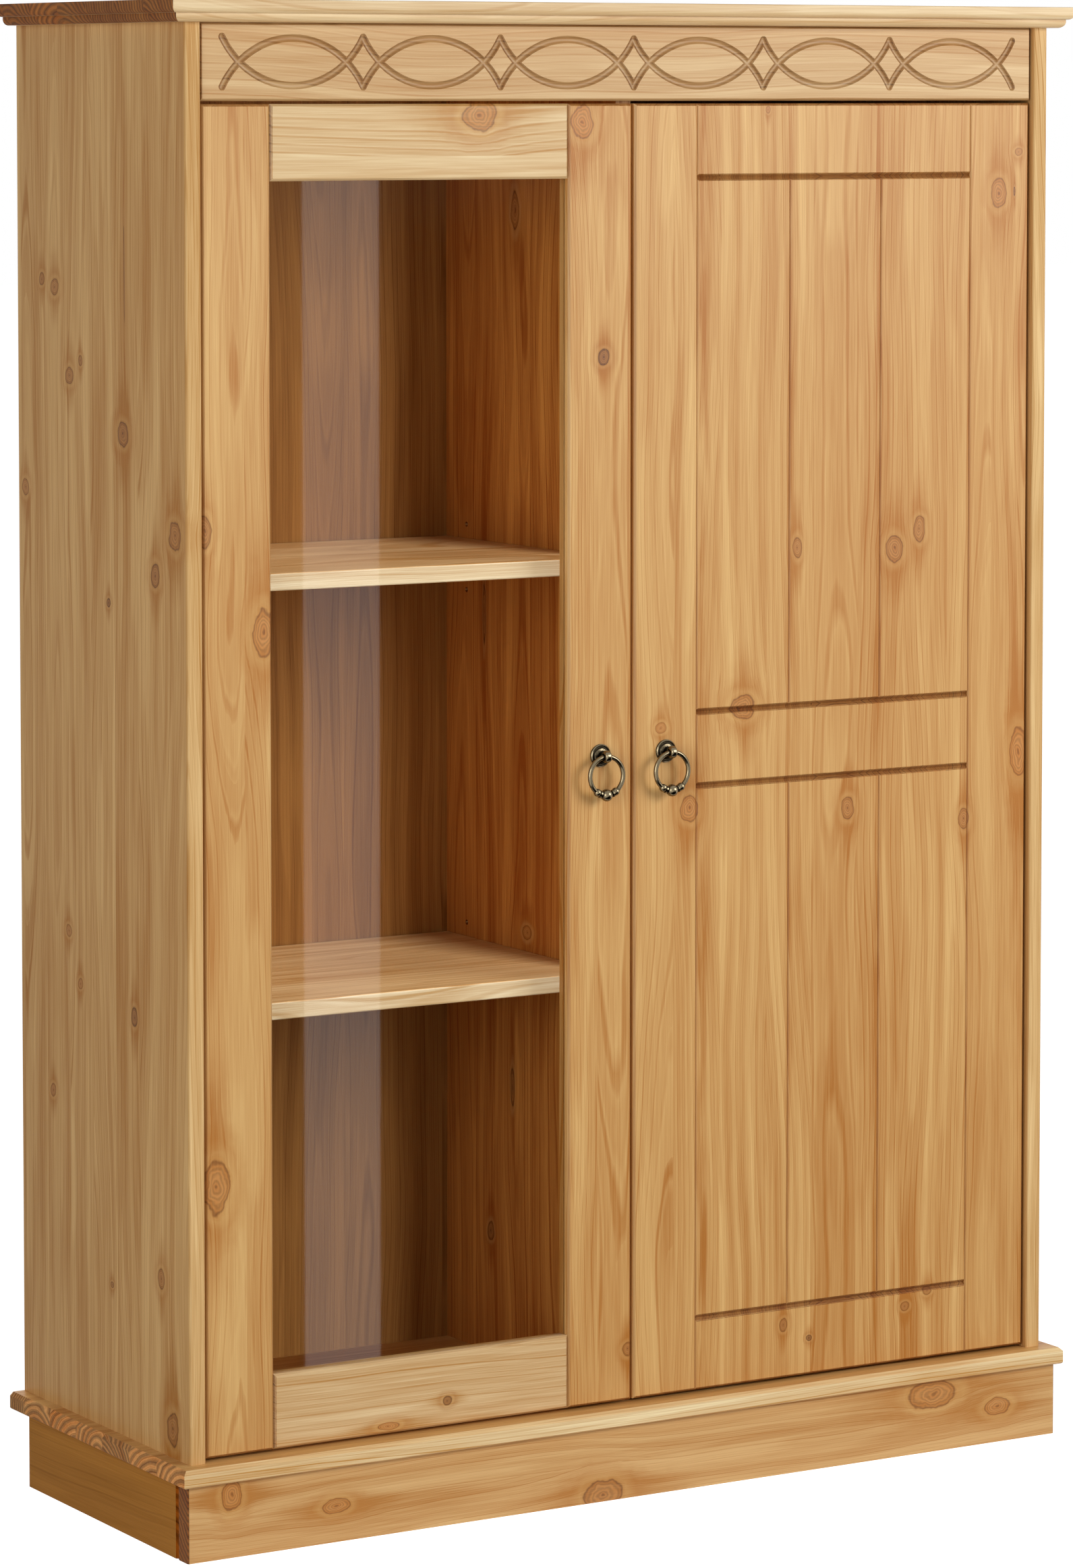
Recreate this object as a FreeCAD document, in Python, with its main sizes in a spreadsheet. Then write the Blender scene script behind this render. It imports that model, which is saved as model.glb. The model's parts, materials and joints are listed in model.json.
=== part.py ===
import FreeCAD, Part
import Sketcher
import math
import os
import re

Vector = FreeCAD.Vector
Rotation = FreeCAD.Rotation

# Highboard in pine: a tall cupboard with a glazed door on the left, a grooved door on the right,
# a carved frieze above both, a moulded top board and a plinth. All sizes are in millimetres.
# The front looks along -Y, +X is to the right of someone facing it, and the floor is Z = 0.
# The origin is below the middle of the cupboard.

SIZES = {
    # Carcass: two sides between a base board and a top board, a partition in the middle.
    "carcass_width": 940,
    "side_depth": 343,
    "side_height": 1294,
    "side_thickness": 16,
    "side_arris": 2.5,
    "partition_thickness": 16,
    "base_thickness": 16,
    "base_side_overhang": 15.5,
    "base_front_overhang": 18,
    "base_upper_chamfer": 3.5,
    "base_lower_chamfer": 1.2,
    "top_upper_thickness": 12,
    "top_lower_thickness": 8,
    "top_side_overhang": 20,
    "top_front_overhang": 17,
    "top_arris": 1,
    "top_upper_round": 5,
    "top_step": 6,
    "top_lower_round": 6,
    # Plinth under the base board, set back behind for a skirting board.
    "plinth_height": 70,
    "plinth_thickness": 18,
    "plinth_side_overhang": 9,
    "plinth_front_overhang": 12,
    "plinth_back_setback": 28,
    "plinth_joint_chamfer": 6,
    "plinth_arris": 1.2,
    "corner_block_width": 30,
    "corner_block_height": 30,
    # Back panels in a rebate of the sides, nailed on.
    "back_thickness": 4,
    "back_rebate_width": 8,
    "back_joint_gap": 1,
    "nail_radius": 0.8,
    "nail_length": 18,
    "nail_head_radius": 2.2,
    "nail_head_thickness": 0.8,
    "nail_end_distance": 60,
    # Frieze board above the doors, with its milled ornament.
    "frieze_height": 70,
    "frieze_end_gap": 1,
    "ornament_end_margin": 22.2,
    "ornament_pitch": 143.6,
    "ornament_diamond_width": 34.1,
    "ornament_lens_rise": 21.3,
    "ornament_cutter_radius": 4,
    "ornament_depth": 2,
    "frieze_block_width": 22,
    "frieze_block_length": 90,
    # Both doors, set between the sides.
    "door_thickness": 18,
    "door_recess": 4,
    "door_side_gap": 2.5,
    "door_centre_gap": 3,
    "door_bottom_gap": 3,
    "door_top_gap": 2.6,
    "door_stop_gap": 1,
    "door_arris": 2.2,
    # Glazed door: frame, pane and beads.
    "stile_width": 69,
    "rail_width": 69,
    "glass_seat_width": 9,
    "glass_seat_lip": 7,
    "glass_thickness": 4,
    "glass_edge_gap": 1,
    "glass_bead_width": 8,
    # Grooved door.
    "panel_border": 69,
    "panel_middle_band": 70,
    "panel_band_rise": 2.7,
    "cross_groove_depth": 3.3,
    "upright_groove_depth": 1.3,
    # Shelves and their support pins.
    "shelf_thickness": 16,
    "shelf_front_setback": 18,
    "shelf_side_gap": 1,
    "shelf_back_gap": 2,
    "shelf_arris": 1.5,
    "lower_shelf_level": 405,
    "upper_shelf_level": 797,
    "support_pin_radius": 2.5,
    "support_pin_seat": 7,
    "support_pin_reach": 9,
    "support_pin_inset": 37,
    "support_hole_pitch": 32,
    "support_hole_clearance": 0.05,
    # Dowels of the carcass and of the door frame.
    "dowel_radius": 4,
    "dowel_length": 30,
    "dowel_seat": 20,
    "dowel_inset": 55,
    "frame_dowel_spread": 30,
    "dowel_clearance": 0.05,
    "dowel_end_gap": 0.5,
    # Concealed hinges: a cup let into the door, a pin across it and an arm to a plate on the side.
    "hinge_end_distance": 100,
    "hinge_edge_distance": 22.5,
    "hinge_pin_depth": 8,
    "hinge_pin_radius": 1.6,
    "hinge_pin_clearance": 0.05,
    "cup_radius": 17.5,
    "cup_depth": 13,
    "cup_wall": 1,
    "cup_clearance": 0.1,
    "flange_thickness": 1.2,
    "flange_length": 62,
    "flange_width": 16,
    "flange_screw_spacing": 48,
    "arm_barrel_radius": 3.2,
    "arm_height": 12,
    "arm_thickness": 3,
    "arm_angle": 40,
    "arm_reach": 28,
    "arm_bridge_distance": 33,
    "arm_foot_length": 20,
    "plate_thickness": 2.5,
    "plate_width": 24,
    "plate_height": 48,
    "plate_screw_spacing": 34,
    # Screws of the hinges, catches and corner blocks.
    "screw_radius": 1.75,
    "screw_length": 12,
    "screw_head_radius": 3.3,
    "screw_head_thickness": 1.8,
    "screw_clearance": 0.05,
    "block_screw_grip": 12,
    # Magnetic catches on the partition and strike plates on the doors.
    "catch_width": 14,
    "catch_depth": 16,
    "catch_height": 40,
    "catch_drop": 110,
    "catch_gap": 0.3,
    "catch_screw_spacing": 26,
    "strike_thickness": 1.5,
    "strike_width": 12,
    # Ring pulls.
    "rosette_radius": 10.75,
    "rosette_thickness": 3.6,
    "rosette_rim": 1.4,
    "rosette_bead_height": 2.2,
    "rosette_ring_width": 2,
    "pull_rise": 3,
    "eye_reach": 11.5,
    "eye_radius": 5.7,
    "eye_length": 7,
    "eye_arris": 2.4,
    "eye_neck_radius": 3.2,
    "eye_neck_clearance": 0.05,
    "ring_radius": 18,
    "ring_wire_radius": 2.2,
    "ring_play": 0.26,
    "ring_bead_radius": 5.8,
    "ring_collar_radius": 3.5,
    "ring_collar_length": 1.6,
    "ring_collar_angle": 22,
    "ring_side_bead_radius": 3.8,
    "ring_side_bead_angle": 33,
    "pull_screw_radius": 2,
    "pull_screw_clearance": 0.2,
    "pull_screw_grip": 7,
    "pull_screw_head_radius": 4,
    "pull_screw_head_thickness": 2.5,
}

LENSES = 6
NAILS_PER_EDGE = 6
PANEL_FIELDS = 3
HOLES_ABOVE_AND_BELOW = (-1, 0, 1)

doc = FreeCAD.newDocument("Highboard")
sheet = doc.addObject("Spreadsheet::Sheet", "Sizes")
for row, (alias, number) in enumerate(SIZES.items(), start=1):
    sheet.set(f"A{row}", alias)
    sheet.set(f"B{row}", str(number))
    sheet.setAlias(f"B{row}", alias)
doc.recompute()

# Places that several pieces share, as expressions of the sizes.
FRONT = "((base_front_overhang - side_depth) / 2)"
BACK = "((base_front_overhang + side_depth) / 2)"
BACK_FACE = f"({BACK} - back_thickness)"
FLOOR = "(plinth_height + base_thickness)"
CEILING = f"({FLOOR} + side_height)"
SIDE_MIDDLE = "(carcass_width / 2 - side_thickness / 2)"
INNER = "(carcass_width / 2 - side_thickness)"
PARTITION = "(partition_thickness / 2)"
DOOR_FACE = f"({FRONT} + door_recess)"
DOOR_BACK = f"({DOOR_FACE} + door_thickness)"
DOOR_STOP = f"({DOOR_BACK} + door_stop_gap)"
DOOR_BOTTOM = f"({FLOOR} + door_bottom_gap)"
DOOR_HEIGHT = "(side_height - frieze_height - door_bottom_gap - door_top_gap)"
DOOR_TOP = f"({DOOR_BOTTOM} + {DOOR_HEIGHT})"
DOOR_MIDDLE = f"({DOOR_BOTTOM} + {DOOR_HEIGHT} / 2)"
DOOR_OUTER = f"({INNER} - door_side_gap)"
DOOR_INNER = "(door_centre_gap / 2)"
DOOR_WIDTH = f"({DOOR_OUTER} - {DOOR_INNER})"
PIN_X = f"({DOOR_OUTER} - hinge_edge_distance)"
PIN_Y = f"({DOOR_BACK} - hinge_pin_depth)"
HINGE_LEVELS = (
    f"({DOOR_BOTTOM} + hinge_end_distance)",
    DOOR_MIDDLE,
    f"({DOOR_TOP} - hinge_end_distance)",
)
PULL_X = f"({DOOR_INNER} + stile_width / 2)"
PULL_Z = f"({DOOR_MIDDLE} + pull_rise)"
EYE_Y = f"({DOOR_FACE} - eye_reach)"
SHELF_FRONT = f"({DOOR_BACK} + shelf_front_setback)"
SHELF_BACK = f"({BACK_FACE} - shelf_back_gap)"

ALONG_X = Rotation(Vector(0, 1, 0), 90)
ALONG_Y = Rotation(Vector(1, 0, 0), -90)
ALONG_Z = Rotation()

pieces = []


def value(name):
    """A size as the sheet holds it."""
    return float(getattr(sheet, name))


def bound(expression):
    """An expression with each size's name pointing at its cell of the sheet."""

    def cell(match):
        word = match.group()
        return f"Sizes.{word}" if word in SIZES else word

    return re.sub(r"[a-z][a-z_]*", cell, str(expression))


def bind(solid, **expressions):
    """Tie properties of a solid to the sheet."""
    for name, expression in expressions.items():
        solid.setExpression(name, bound(expression))


def place(solid, base, turn=ALONG_Z):
    """Put the solid's own origin at a point given by expressions, turned as asked."""
    solid.Placement = FreeCAD.Placement(Vector(), turn)
    for axis, expression in zip("xyz", base):
        solid.setExpression(f"Placement.Base.{axis}", bound(expression))
    return solid


def box(name, size, corner, turn=ALONG_Z):
    """A rectangular board: its size along X, Y and Z, and its lowest corner."""
    board = doc.addObject("Part::Box", name)
    bind(board, Length=size[0], Width=size[1], Height=size[2])
    return place(board, corner, turn)


def rod(name, radius, length, start, turn):
    """A round rod from a start point along an axis."""
    solid = doc.addObject("Part::Cylinder", name)
    bind(solid, Radius=radius, Height=length)
    return place(solid, start, turn)


def ball(name, radius, centre, turn=ALONG_Z):
    """A sphere about a point, its poles along an axis."""
    solid = doc.addObject("Part::Sphere", name)
    bind(solid, Radius=radius)
    return place(solid, centre, turn)


def group(name, solids):
    """Separate solids kept together."""
    together = doc.addObject("Part::Compound", name)
    together.Links = solids
    return together


def fuse(name, solids):
    """Solids joined into one."""
    joined = doc.addObject("Part::MultiFuse", name)
    joined.Shapes = solids
    return joined


def cut(name, base, cutter):
    """A base with a cutter taken away."""
    rest = doc.addObject("Part::Cut", name)
    rest.Base = base
    rest.Tool = cutter
    return rest


def mirror(name, source):
    """The same piece on the other side of the cupboard's middle."""
    copy = doc.addObject("Part::Mirroring", name)
    copy.Source = source
    copy.Base = Vector()
    copy.Normal = Vector(1, 0, 0)
    return copy


def piece(label, solid):
    """Keep a finished solid as a piece of the highboard under its own name."""
    solid.Label = label
    pieces.append(solid)
    return solid


EDGE_LIES = {
    "left": lambda edge, whole, near: edge.XMax < whole.XMin + near,
    "right": lambda edge, whole, near: edge.XMin > whole.XMax - near,
    "front": lambda edge, whole, near: edge.YMax < whole.YMin + near,
    "back": lambda edge, whole, near: edge.YMin > whole.YMax - near,
    "bottom": lambda edge, whole, near: edge.ZMax < whole.ZMin + near,
    "top": lambda edge, whole, near: edge.ZMin > whole.ZMax - near,
}


def arrises(shape, side, *except_sides):
    """Numbers of the edges on one side of a shape that lie on none of the other sides named."""
    near = 1e-4
    found = []
    for number, edge in enumerate(shape.Edges, start=1):
        limits = (edge.BoundBox, shape.BoundBox, near)
        if EDGE_LIES[side](*limits) and not any(EDGE_LIES[other](*limits) for other in except_sides):
            found.append(number)
    return found


def ease(kind, base, *rows):
    """Fillet or Chamfer edges: each row is a size, the side they lie on and the sides left out."""
    doc.recompute()
    eased = doc.addObject(f"Part::{kind}", f"{base.Name}_eased")
    eased.Base = base
    eased.Edges = [
        (number, value(size), value(size))
        for size, *sides in rows
        for number in arrises(base.Shape, *sides)
    ]
    return eased


def screw(name, head_point, turn, length="screw_length"):
    """A wood screw: a round head whose underside is at the point, and a shank along the axis."""
    shank = rod(f"{name}_shank", "screw_radius", length, head_point, turn)
    back = turn.multVec(Vector(0, 0, 1))
    head_start = [
        f"({centre}) - ({component:.0f}) * screw_head_thickness"
        for centre, component in zip(head_point, back)
    ]
    head = rod(f"{name}_head", "screw_head_radius", "screw_head_thickness", head_start, turn)
    return fuse(name, [head, shank])


def screw_bore(name, head_point, turn, length="screw_length"):
    """The hole that a screw's shank runs in."""
    return rod(name, "screw_radius + screw_clearance", length, head_point, turn)


# Dowels: they stand in the ends of the uprights and reach into the base board and the top board.
dowels = []
dowel_bores = []
UPRIGHT_DOWELS = [
    (f"{sign} * {SIDE_MIDDLE}", depth)
    for sign in (-1, 1)
    for depth in (f"{FRONT} + dowel_inset", f"({FRONT} + {BACK}) / 2", f"{BACK} - dowel_inset")
] + [
    ("0", f"{DOOR_STOP} + dowel_inset"),
    ("0", f"{BACK_FACE} - dowel_inset"),
]
DOWEL_FEET = (f"{FLOOR} - dowel_length + dowel_seat", f"{CEILING} - dowel_seat")
for x, y in UPRIGHT_DOWELS:
    for foot in DOWEL_FEET:
        dowels.append(rod("carcass_dowel", "dowel_radius", "dowel_length", (x, y, foot), ALONG_Z))
        bore_foot = f"{foot} - dowel_end_gap"
        dowel_bores.append(
            rod("carcass_dowel_bore", "dowel_radius + dowel_clearance",
                "dowel_length + 2 * dowel_end_gap", (x, y, bore_foot), ALONG_Z)
        )
piece("carcass_dowels", group("carcass_dowels", dowels))
dowel_cutter = group("carcass_dowel_cutter", dowel_bores)

# Top board: one glued panel whose front and ends are moulded with two rounds and a step between.
TOP_WIDTH = "(carcass_width + 2 * top_side_overhang)"
TOP_DEPTH = "(side_depth + top_front_overhang)"
top_upper = box(
    "top_upper_band",
    (TOP_WIDTH, TOP_DEPTH, "top_upper_thickness"),
    (f"-{TOP_WIDTH} / 2", f"{FRONT} - top_front_overhang", f"{CEILING} + top_lower_thickness"),
)
top_lower = box(
    "top_lower_band",
    (f"{TOP_WIDTH} - 2 * top_step", f"{TOP_DEPTH} - top_step", "top_lower_thickness"),
    (f"top_step - {TOP_WIDTH} / 2", f"{FRONT} - top_front_overhang + top_step", CEILING),
)
top_upper = ease(
    "Fillet", top_upper, ("top_upper_round", "bottom", "back"), ("top_arris", "top", "back")
)
top_lower = ease("Fillet", top_lower, ("top_lower_round", "bottom", "back"))
top_whole = fuse("top_whole", [top_upper, top_lower])
piece("top_board", cut("top_board", top_whole, dowel_cutter))

# Base board: one glued panel, chamfered all round except behind.
base_whole = box(
    "base_whole",
    ("carcass_width + 2 * base_side_overhang", "side_depth + base_front_overhang", "base_thickness"),
    ("-carcass_width / 2 - base_side_overhang", f"{FRONT} - base_front_overhang", "plinth_height"),
)
base_whole = ease(
    "Chamfer",
    base_whole,
    ("base_upper_chamfer", "top", "back"),
    ("base_lower_chamfer", "bottom", "back"),
)

# Plinth: the front board laps over the ends of the side boards, the back board stands between them.
PLINTH_OUTER = "(carcass_width / 2 + plinth_side_overhang)"
PLINTH_FACE = f"({FRONT} - plinth_front_overhang)"
PLINTH_INNER_FACE = f"({PLINTH_FACE} + plinth_thickness)"
PLINTH_END = f"({BACK} - plinth_back_setback)"
plinth_front = box(
    "plinth_front_whole",
    (f"2 * {PLINTH_OUTER}", "plinth_thickness", "plinth_height"),
    (f"-{PLINTH_OUTER}", PLINTH_FACE, "0"),
)
piece("plinth_front", ease("Chamfer", plinth_front, ("plinth_arris", "front", "top", "bottom")))
plinth_side = box(
    "plinth_side_whole",
    ("plinth_thickness", f"{PLINTH_END} - {PLINTH_INNER_FACE}", "plinth_height"),
    (f"-{PLINTH_OUTER}", PLINTH_INNER_FACE, "0"),
)
plinth_side = ease("Chamfer", plinth_side, ("plinth_joint_chamfer", "front", "right", "top", "bottom"))
piece("plinth_left", plinth_side)
piece("plinth_right", mirror("plinth_right", plinth_side))
piece(
    "plinth_back",
    box(
        "plinth_back",
        (f"2 * ({PLINTH_OUTER} - plinth_thickness)", "plinth_thickness", "plinth_height"),
        (f"plinth_thickness - {PLINTH_OUTER}", f"{PLINTH_END} - plinth_thickness", "0"),
    ),
)

# Corner blocks: they stiffen the plinth's corners, and a screw through each holds the base board.
blocks = []
block_screws = []
block_bores = []
BLOCK_FOOT = "(plinth_height - corner_block_height)"
BLOCK_SCREW_LENGTH = "(corner_block_height + block_screw_grip)"
BLOCK_CORNERS = [
    (x, y)
    for x in (
        f"plinth_thickness - {PLINTH_OUTER}",
        f"{PLINTH_OUTER} - plinth_thickness - corner_block_width",
    )
    for y in (PLINTH_INNER_FACE, f"{PLINTH_END} - plinth_thickness - corner_block_width")
]
for x, y in BLOCK_CORNERS:
    size = ("corner_block_width", "corner_block_width", "corner_block_height")
    blocks.append(box("corner_block_whole", size, (x, y, BLOCK_FOOT)))
    under = (f"{x} + corner_block_width / 2", f"{y} + corner_block_width / 2", BLOCK_FOOT)
    block_screws.append(screw("corner_block_screw", under, ALONG_Z, BLOCK_SCREW_LENGTH))
    block_bores.append(screw_bore("corner_block_bore", under, ALONG_Z, BLOCK_SCREW_LENGTH))
block_cutter = group("corner_block_cutter", block_bores)
blocks_whole = group("corner_blocks_whole", blocks)
piece("plinth_corner_blocks", cut("plinth_corner_blocks", blocks_whole, block_cutter))
piece("plinth_block_screws", group("plinth_block_screws", block_screws))
base_bored = cut("base_bored", base_whole, dowel_cutter)
piece("base_board", cut("base_board", base_bored, block_cutter))

# Shelf supports: pins in holes of the sides and of the partition, with a spare hole above and below.
support_pins = []
side_holes = []
partition_holes = []
SHELF_LEVELS = {
    "lower": f"({FLOOR} + lower_shelf_level)",
    "upper": f"({FLOOR} + upper_shelf_level)",
}
SUPPORT_DEPTHS = (f"{SHELF_FRONT} + support_pin_inset", f"{SHELF_BACK} - support_pin_inset")
PIN_LENGTH = "(support_pin_seat + support_pin_reach)"
HOLE_RADIUS = "(support_pin_radius + support_hole_clearance)"
PIN_STARTS = (
    f"-{INNER} - support_pin_seat",
    f"-{PARTITION} - support_pin_reach",
    f"{PARTITION} - support_pin_seat",
    f"{INNER} - support_pin_reach",
)
for level in SHELF_LEVELS.values():
    pin_level = f"({level} - shelf_thickness - support_pin_radius)"
    for y in SUPPORT_DEPTHS:
        for x in PIN_STARTS:
            start = (x, y, pin_level)
            support_pins.append(rod("support_pin", "support_pin_radius", PIN_LENGTH, start, ALONG_X))
        for step in HOLES_ABOVE_AND_BELOW:
            z = f"{pin_level} + ({step}) * support_hole_pitch"
            side_holes.append(
                rod("side_hole", HOLE_RADIUS, "support_pin_seat", (PIN_STARTS[0], y, z), ALONG_X)
            )
            partition_holes.append(
                rod("partition_hole", HOLE_RADIUS, "partition_thickness",
                    (f"-{PARTITION}", y, z), ALONG_X)
            )
piece("shelf_support_pins", group("shelf_support_pins", support_pins))

# Nails of the back panels: two rows in each panel, into the side's rebate and into the partition.
nails = []
nail_bores = []
NAIL_ROWS = (f"-{INNER} - back_rebate_width / 2", f"-{PARTITION} / 2")
for x in NAIL_ROWS:
    for count in range(NAILS_PER_EDGE):
        share = f"{count} / {NAILS_PER_EDGE - 1}"
        z = f"{FLOOR} + nail_end_distance + (side_height - 2 * nail_end_distance) * {share}"
        tip = (x, f"{BACK} - nail_length", z)
        head = (x, f"{BACK} - nail_head_thickness", z)
        shank = rod("nail_shank", "nail_radius", "nail_length", tip, ALONG_Y)
        disc = rod("nail_disc", "nail_head_radius", "nail_head_thickness", head, ALONG_Y)
        nails.append(fuse("nail", [shank, disc]))
        shank_bore = rod("nail_shank_bore", "nail_radius + screw_clearance", "nail_length", tip, ALONG_Y)
        head_bore = rod(
            "nail_head_bore", "nail_head_radius + screw_clearance", "nail_head_thickness", head, ALONG_Y
        )
        nail_bores.append(fuse("nail_bore", [shank_bore, head_bore]))
left_nails = group("left_back_nails", nails)
left_nail_cutter = group("left_nail_cutter", nail_bores)
right_nail_cutter = mirror("right_nail_cutter", left_nail_cutter)
piece("left_back_nails", left_nails)
piece("right_back_nails", mirror("right_back_nails", left_nails))

# Back panels: thin sheets that meet behind the partition.
back_whole = box(
    "back_whole",
    (f"{INNER} + back_rebate_width - back_joint_gap / 2", "back_thickness", "side_height"),
    (f"-{INNER} - back_rebate_width", BACK_FACE, FLOOR),
)
left_back = cut("left_back_panel", back_whole, left_nail_cutter)
piece("left_back_panel", left_back)
piece("right_back_panel", mirror("right_back_panel", left_back))

# Hinges of the left door, in the closed pose: cup and pin belong to the door, arm and plate to the side.
cups = []
cup_bores = []
cup_screws = []
cup_screw_bores = []
hinge_pins = []
arms = []
plates = []
plate_screws = []
plate_screw_bores = []
CUP_FLOOR = f"({DOOR_BACK} - cup_depth)"
ELBOW_X = "(arm_reach * cos(arm_angle))"
ELBOW_Y = "(arm_reach * sin(arm_angle))"
BRIDGE_Y = f"({PIN_Y} + arm_bridge_distance)"
PLATE_FACE = f"(plate_thickness - {INNER})"
arm_turn = Rotation(Vector(0, 0, 1), value("arm_angle"))
for level in HINGE_LEVELS:
    flange_back = f"{DOOR_BACK} + flange_thickness"
    shell = rod("cup_shell", "cup_radius", "cup_depth + flange_thickness",
                (f"-{PIN_X}", CUP_FLOOR, level), ALONG_Y)
    wings = box(
        "cup_wings",
        ("flange_width", "flange_thickness", "flange_length"),
        (f"-{PIN_X} - flange_width / 2", DOOR_BACK, f"{level} - flange_length / 2"),
    )
    hollow = rod("cup_hollow", "cup_radius - cup_wall", "cup_depth + flange_thickness",
                 (f"-{PIN_X}", f"{CUP_FLOOR} + cup_wall", level), ALONG_Y)
    pin_foot = (f"-{PIN_X}", PIN_Y, f"{level} - cup_radius")
    pin_bore = rod("cup_pin_bore", "hinge_pin_radius + hinge_pin_clearance", "2 * cup_radius",
                   pin_foot, ALONG_Z)
    openings = [hollow, pin_bore]
    for sign in (-1, 1):
        point = (f"-{PIN_X}", flange_back, f"{level} + ({sign}) * flange_screw_spacing / 2")
        into_door = Rotation(Vector(1, 0, 0), 90)
        cup_screws.append(screw("cup_screw", point, into_door))
        cup_screw_bores.append(screw_bore("cup_screw_bore", point, into_door))
        openings.append(screw_bore("cup_flange_bore", point, into_door))
    cup_whole = fuse("cup_whole", [shell, wings])
    cups.append(cut("cup", cup_whole, fuse("cup_openings", openings)))
    cup_bores.append(
        rod("cup_bore", "cup_radius + cup_clearance", "cup_depth", (f"-{PIN_X}", CUP_FLOOR, level), ALONG_Y)
    )
    hinge_pins.append(rod("hinge_pin", "hinge_pin_radius", "2 * cup_radius", pin_foot, ALONG_Z))

    arm_foot_level = f"{level} - arm_height / 2"
    barrel = rod("arm_barrel", "arm_barrel_radius", "arm_height",
                 (f"-{PIN_X}", PIN_Y, arm_foot_level), ALONG_Z)
    reach = box(
        "arm_reach_web",
        ("arm_reach", "arm_thickness", "arm_height"),
        (
            f"-{PIN_X} + arm_thickness / 2 * sin(arm_angle)",
            f"{PIN_Y} - arm_thickness / 2 * cos(arm_angle)",
            arm_foot_level,
        ),
        arm_turn,
    )
    riser = box(
        "arm_riser",
        ("arm_thickness", f"arm_bridge_distance - {ELBOW_Y} + 1.5 * arm_thickness", "arm_height"),
        (f"-{PIN_X} + {ELBOW_X} - arm_thickness / 2", f"{PIN_Y} + {ELBOW_Y} - arm_thickness", arm_foot_level),
    )
    bridge = box(
        "arm_bridge",
        (f"{ELBOW_X} + arm_thickness / 2 - {PIN_X} - {PLATE_FACE}", "arm_thickness", "arm_height"),
        (PLATE_FACE, f"{BRIDGE_Y} - arm_thickness / 2", arm_foot_level),
    )
    foot = box(
        "arm_foot",
        ("arm_thickness", "arm_foot_length", "arm_height"),
        (PLATE_FACE, f"{BRIDGE_Y} - arm_foot_length / 2", arm_foot_level),
    )
    arm_whole = fuse("arm_whole", [barrel, reach, riser, bridge, foot])
    arm_bore = rod("arm_bore", "hinge_pin_radius + hinge_pin_clearance", "arm_height",
                   (f"-{PIN_X}", PIN_Y, arm_foot_level), ALONG_Z)
    arms.append(cut("arm", arm_whole, arm_bore))

    plate_whole = box(
        "plate_whole",
        ("plate_thickness", "plate_width", "plate_height"),
        (f"-{INNER}", f"{BRIDGE_Y} - plate_width / 2", f"{level} - plate_height / 2"),
    )
    bores = []
    for sign in (-1, 1):
        point = (PLATE_FACE, BRIDGE_Y, f"{level} + ({sign}) * plate_screw_spacing / 2")
        into_side = Rotation(Vector(0, 1, 0), -90)
        plate_screws.append(screw("plate_screw", point, into_side))
        bores.append(screw_bore("plate_screw_bore", point, into_side))
    plate_screw_bores.extend(bores)
    plates.append(cut("plate", plate_whole, group("plate_openings", bores)))
left_cups = group("left_hinge_cups", cups)
left_pins = group("left_hinge_pins", hinge_pins)
left_cup_screws = group("left_hinge_cup_screws", cup_screws)
left_arms = group("left_hinge_arms", arms)
left_plates = group("left_hinge_plates", plates)
left_plate_screws = group("left_hinge_plate_screws", plate_screws)
for solid in (left_cups, left_pins, left_cup_screws, left_arms, left_plates, left_plate_screws):
    right_name = solid.Name.replace("left", "right")
    piece(solid.Name, solid)
    piece(right_name, mirror(right_name, solid))
left_hinge_cutter = group("left_hinge_cutter", cup_bores + cup_screw_bores)
right_hinge_cutter = mirror("right_hinge_cutter", left_hinge_cutter)

# Side panels: glued boards with eased front arrises and a rebate behind for the back panel.
side_whole = box(
    "side_whole",
    ("side_thickness", "side_depth", "side_height"),
    ("-carcass_width / 2", FRONT, FLOOR),
)
side_whole = ease("Fillet", side_whole, ("side_arris", "front", "top", "bottom"))
side_rebate = box(
    "side_rebate",
    ("back_rebate_width", "back_thickness", "side_height"),
    (f"-{INNER} - back_rebate_width", BACK_FACE, FLOOR),
)
side_rebated = cut("side_rebated", side_whole, side_rebate)
side_bores = side_holes + plate_screw_bores + [left_nail_cutter, dowel_cutter]
left_side = cut("left_side_panel", side_rebated, group("side_cutter", side_bores))
piece("left_side_panel", left_side)
piece("right_side_panel", mirror("right_side_panel", left_side))

# Magnetic catches: one on each face of the partition near the top, screwed on, and a strike plate
# on the back of each door in front of it.
CATCH_LEVEL = f"({DOOR_TOP} - catch_drop)"
CATCH_FRONT = f"({DOOR_BACK} + strike_thickness + catch_gap)"
catch_whole = box(
    "catch_whole",
    ("catch_width", "catch_depth", "catch_height"),
    (f"-{PARTITION} - catch_width", CATCH_FRONT, f"{CATCH_LEVEL} - catch_height / 2"),
)
catch_screws = []
catch_bores = []
CATCH_SCREW_LENGTH = f"(catch_width + {PARTITION} - screw_radius)"
for sign in (-1, 1):
    point = (
        f"-{PARTITION} - catch_width",
        f"{CATCH_FRONT} + catch_depth / 2",
        f"{CATCH_LEVEL} + ({sign}) * catch_screw_spacing / 2",
    )
    catch_screws.append(screw("catch_screw", point, ALONG_X, CATCH_SCREW_LENGTH))
    catch_bores.append(screw_bore("catch_bore", point, ALONG_X, CATCH_SCREW_LENGTH))
left_catch_cutter = group("left_catch_cutter", catch_bores)
right_catch_cutter = mirror("right_catch_cutter", left_catch_cutter)
left_catch = cut("left_magnet_catch", catch_whole, left_catch_cutter)
left_catch_screws = group("left_catch_screws", catch_screws)
left_strike = box(
    "left_strike_plate",
    ("strike_width", "strike_thickness", "catch_height"),
    (f"-{PARTITION} - (catch_width + strike_width) / 2", DOOR_BACK, f"{CATCH_LEVEL} - catch_height / 2"),
)
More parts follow.
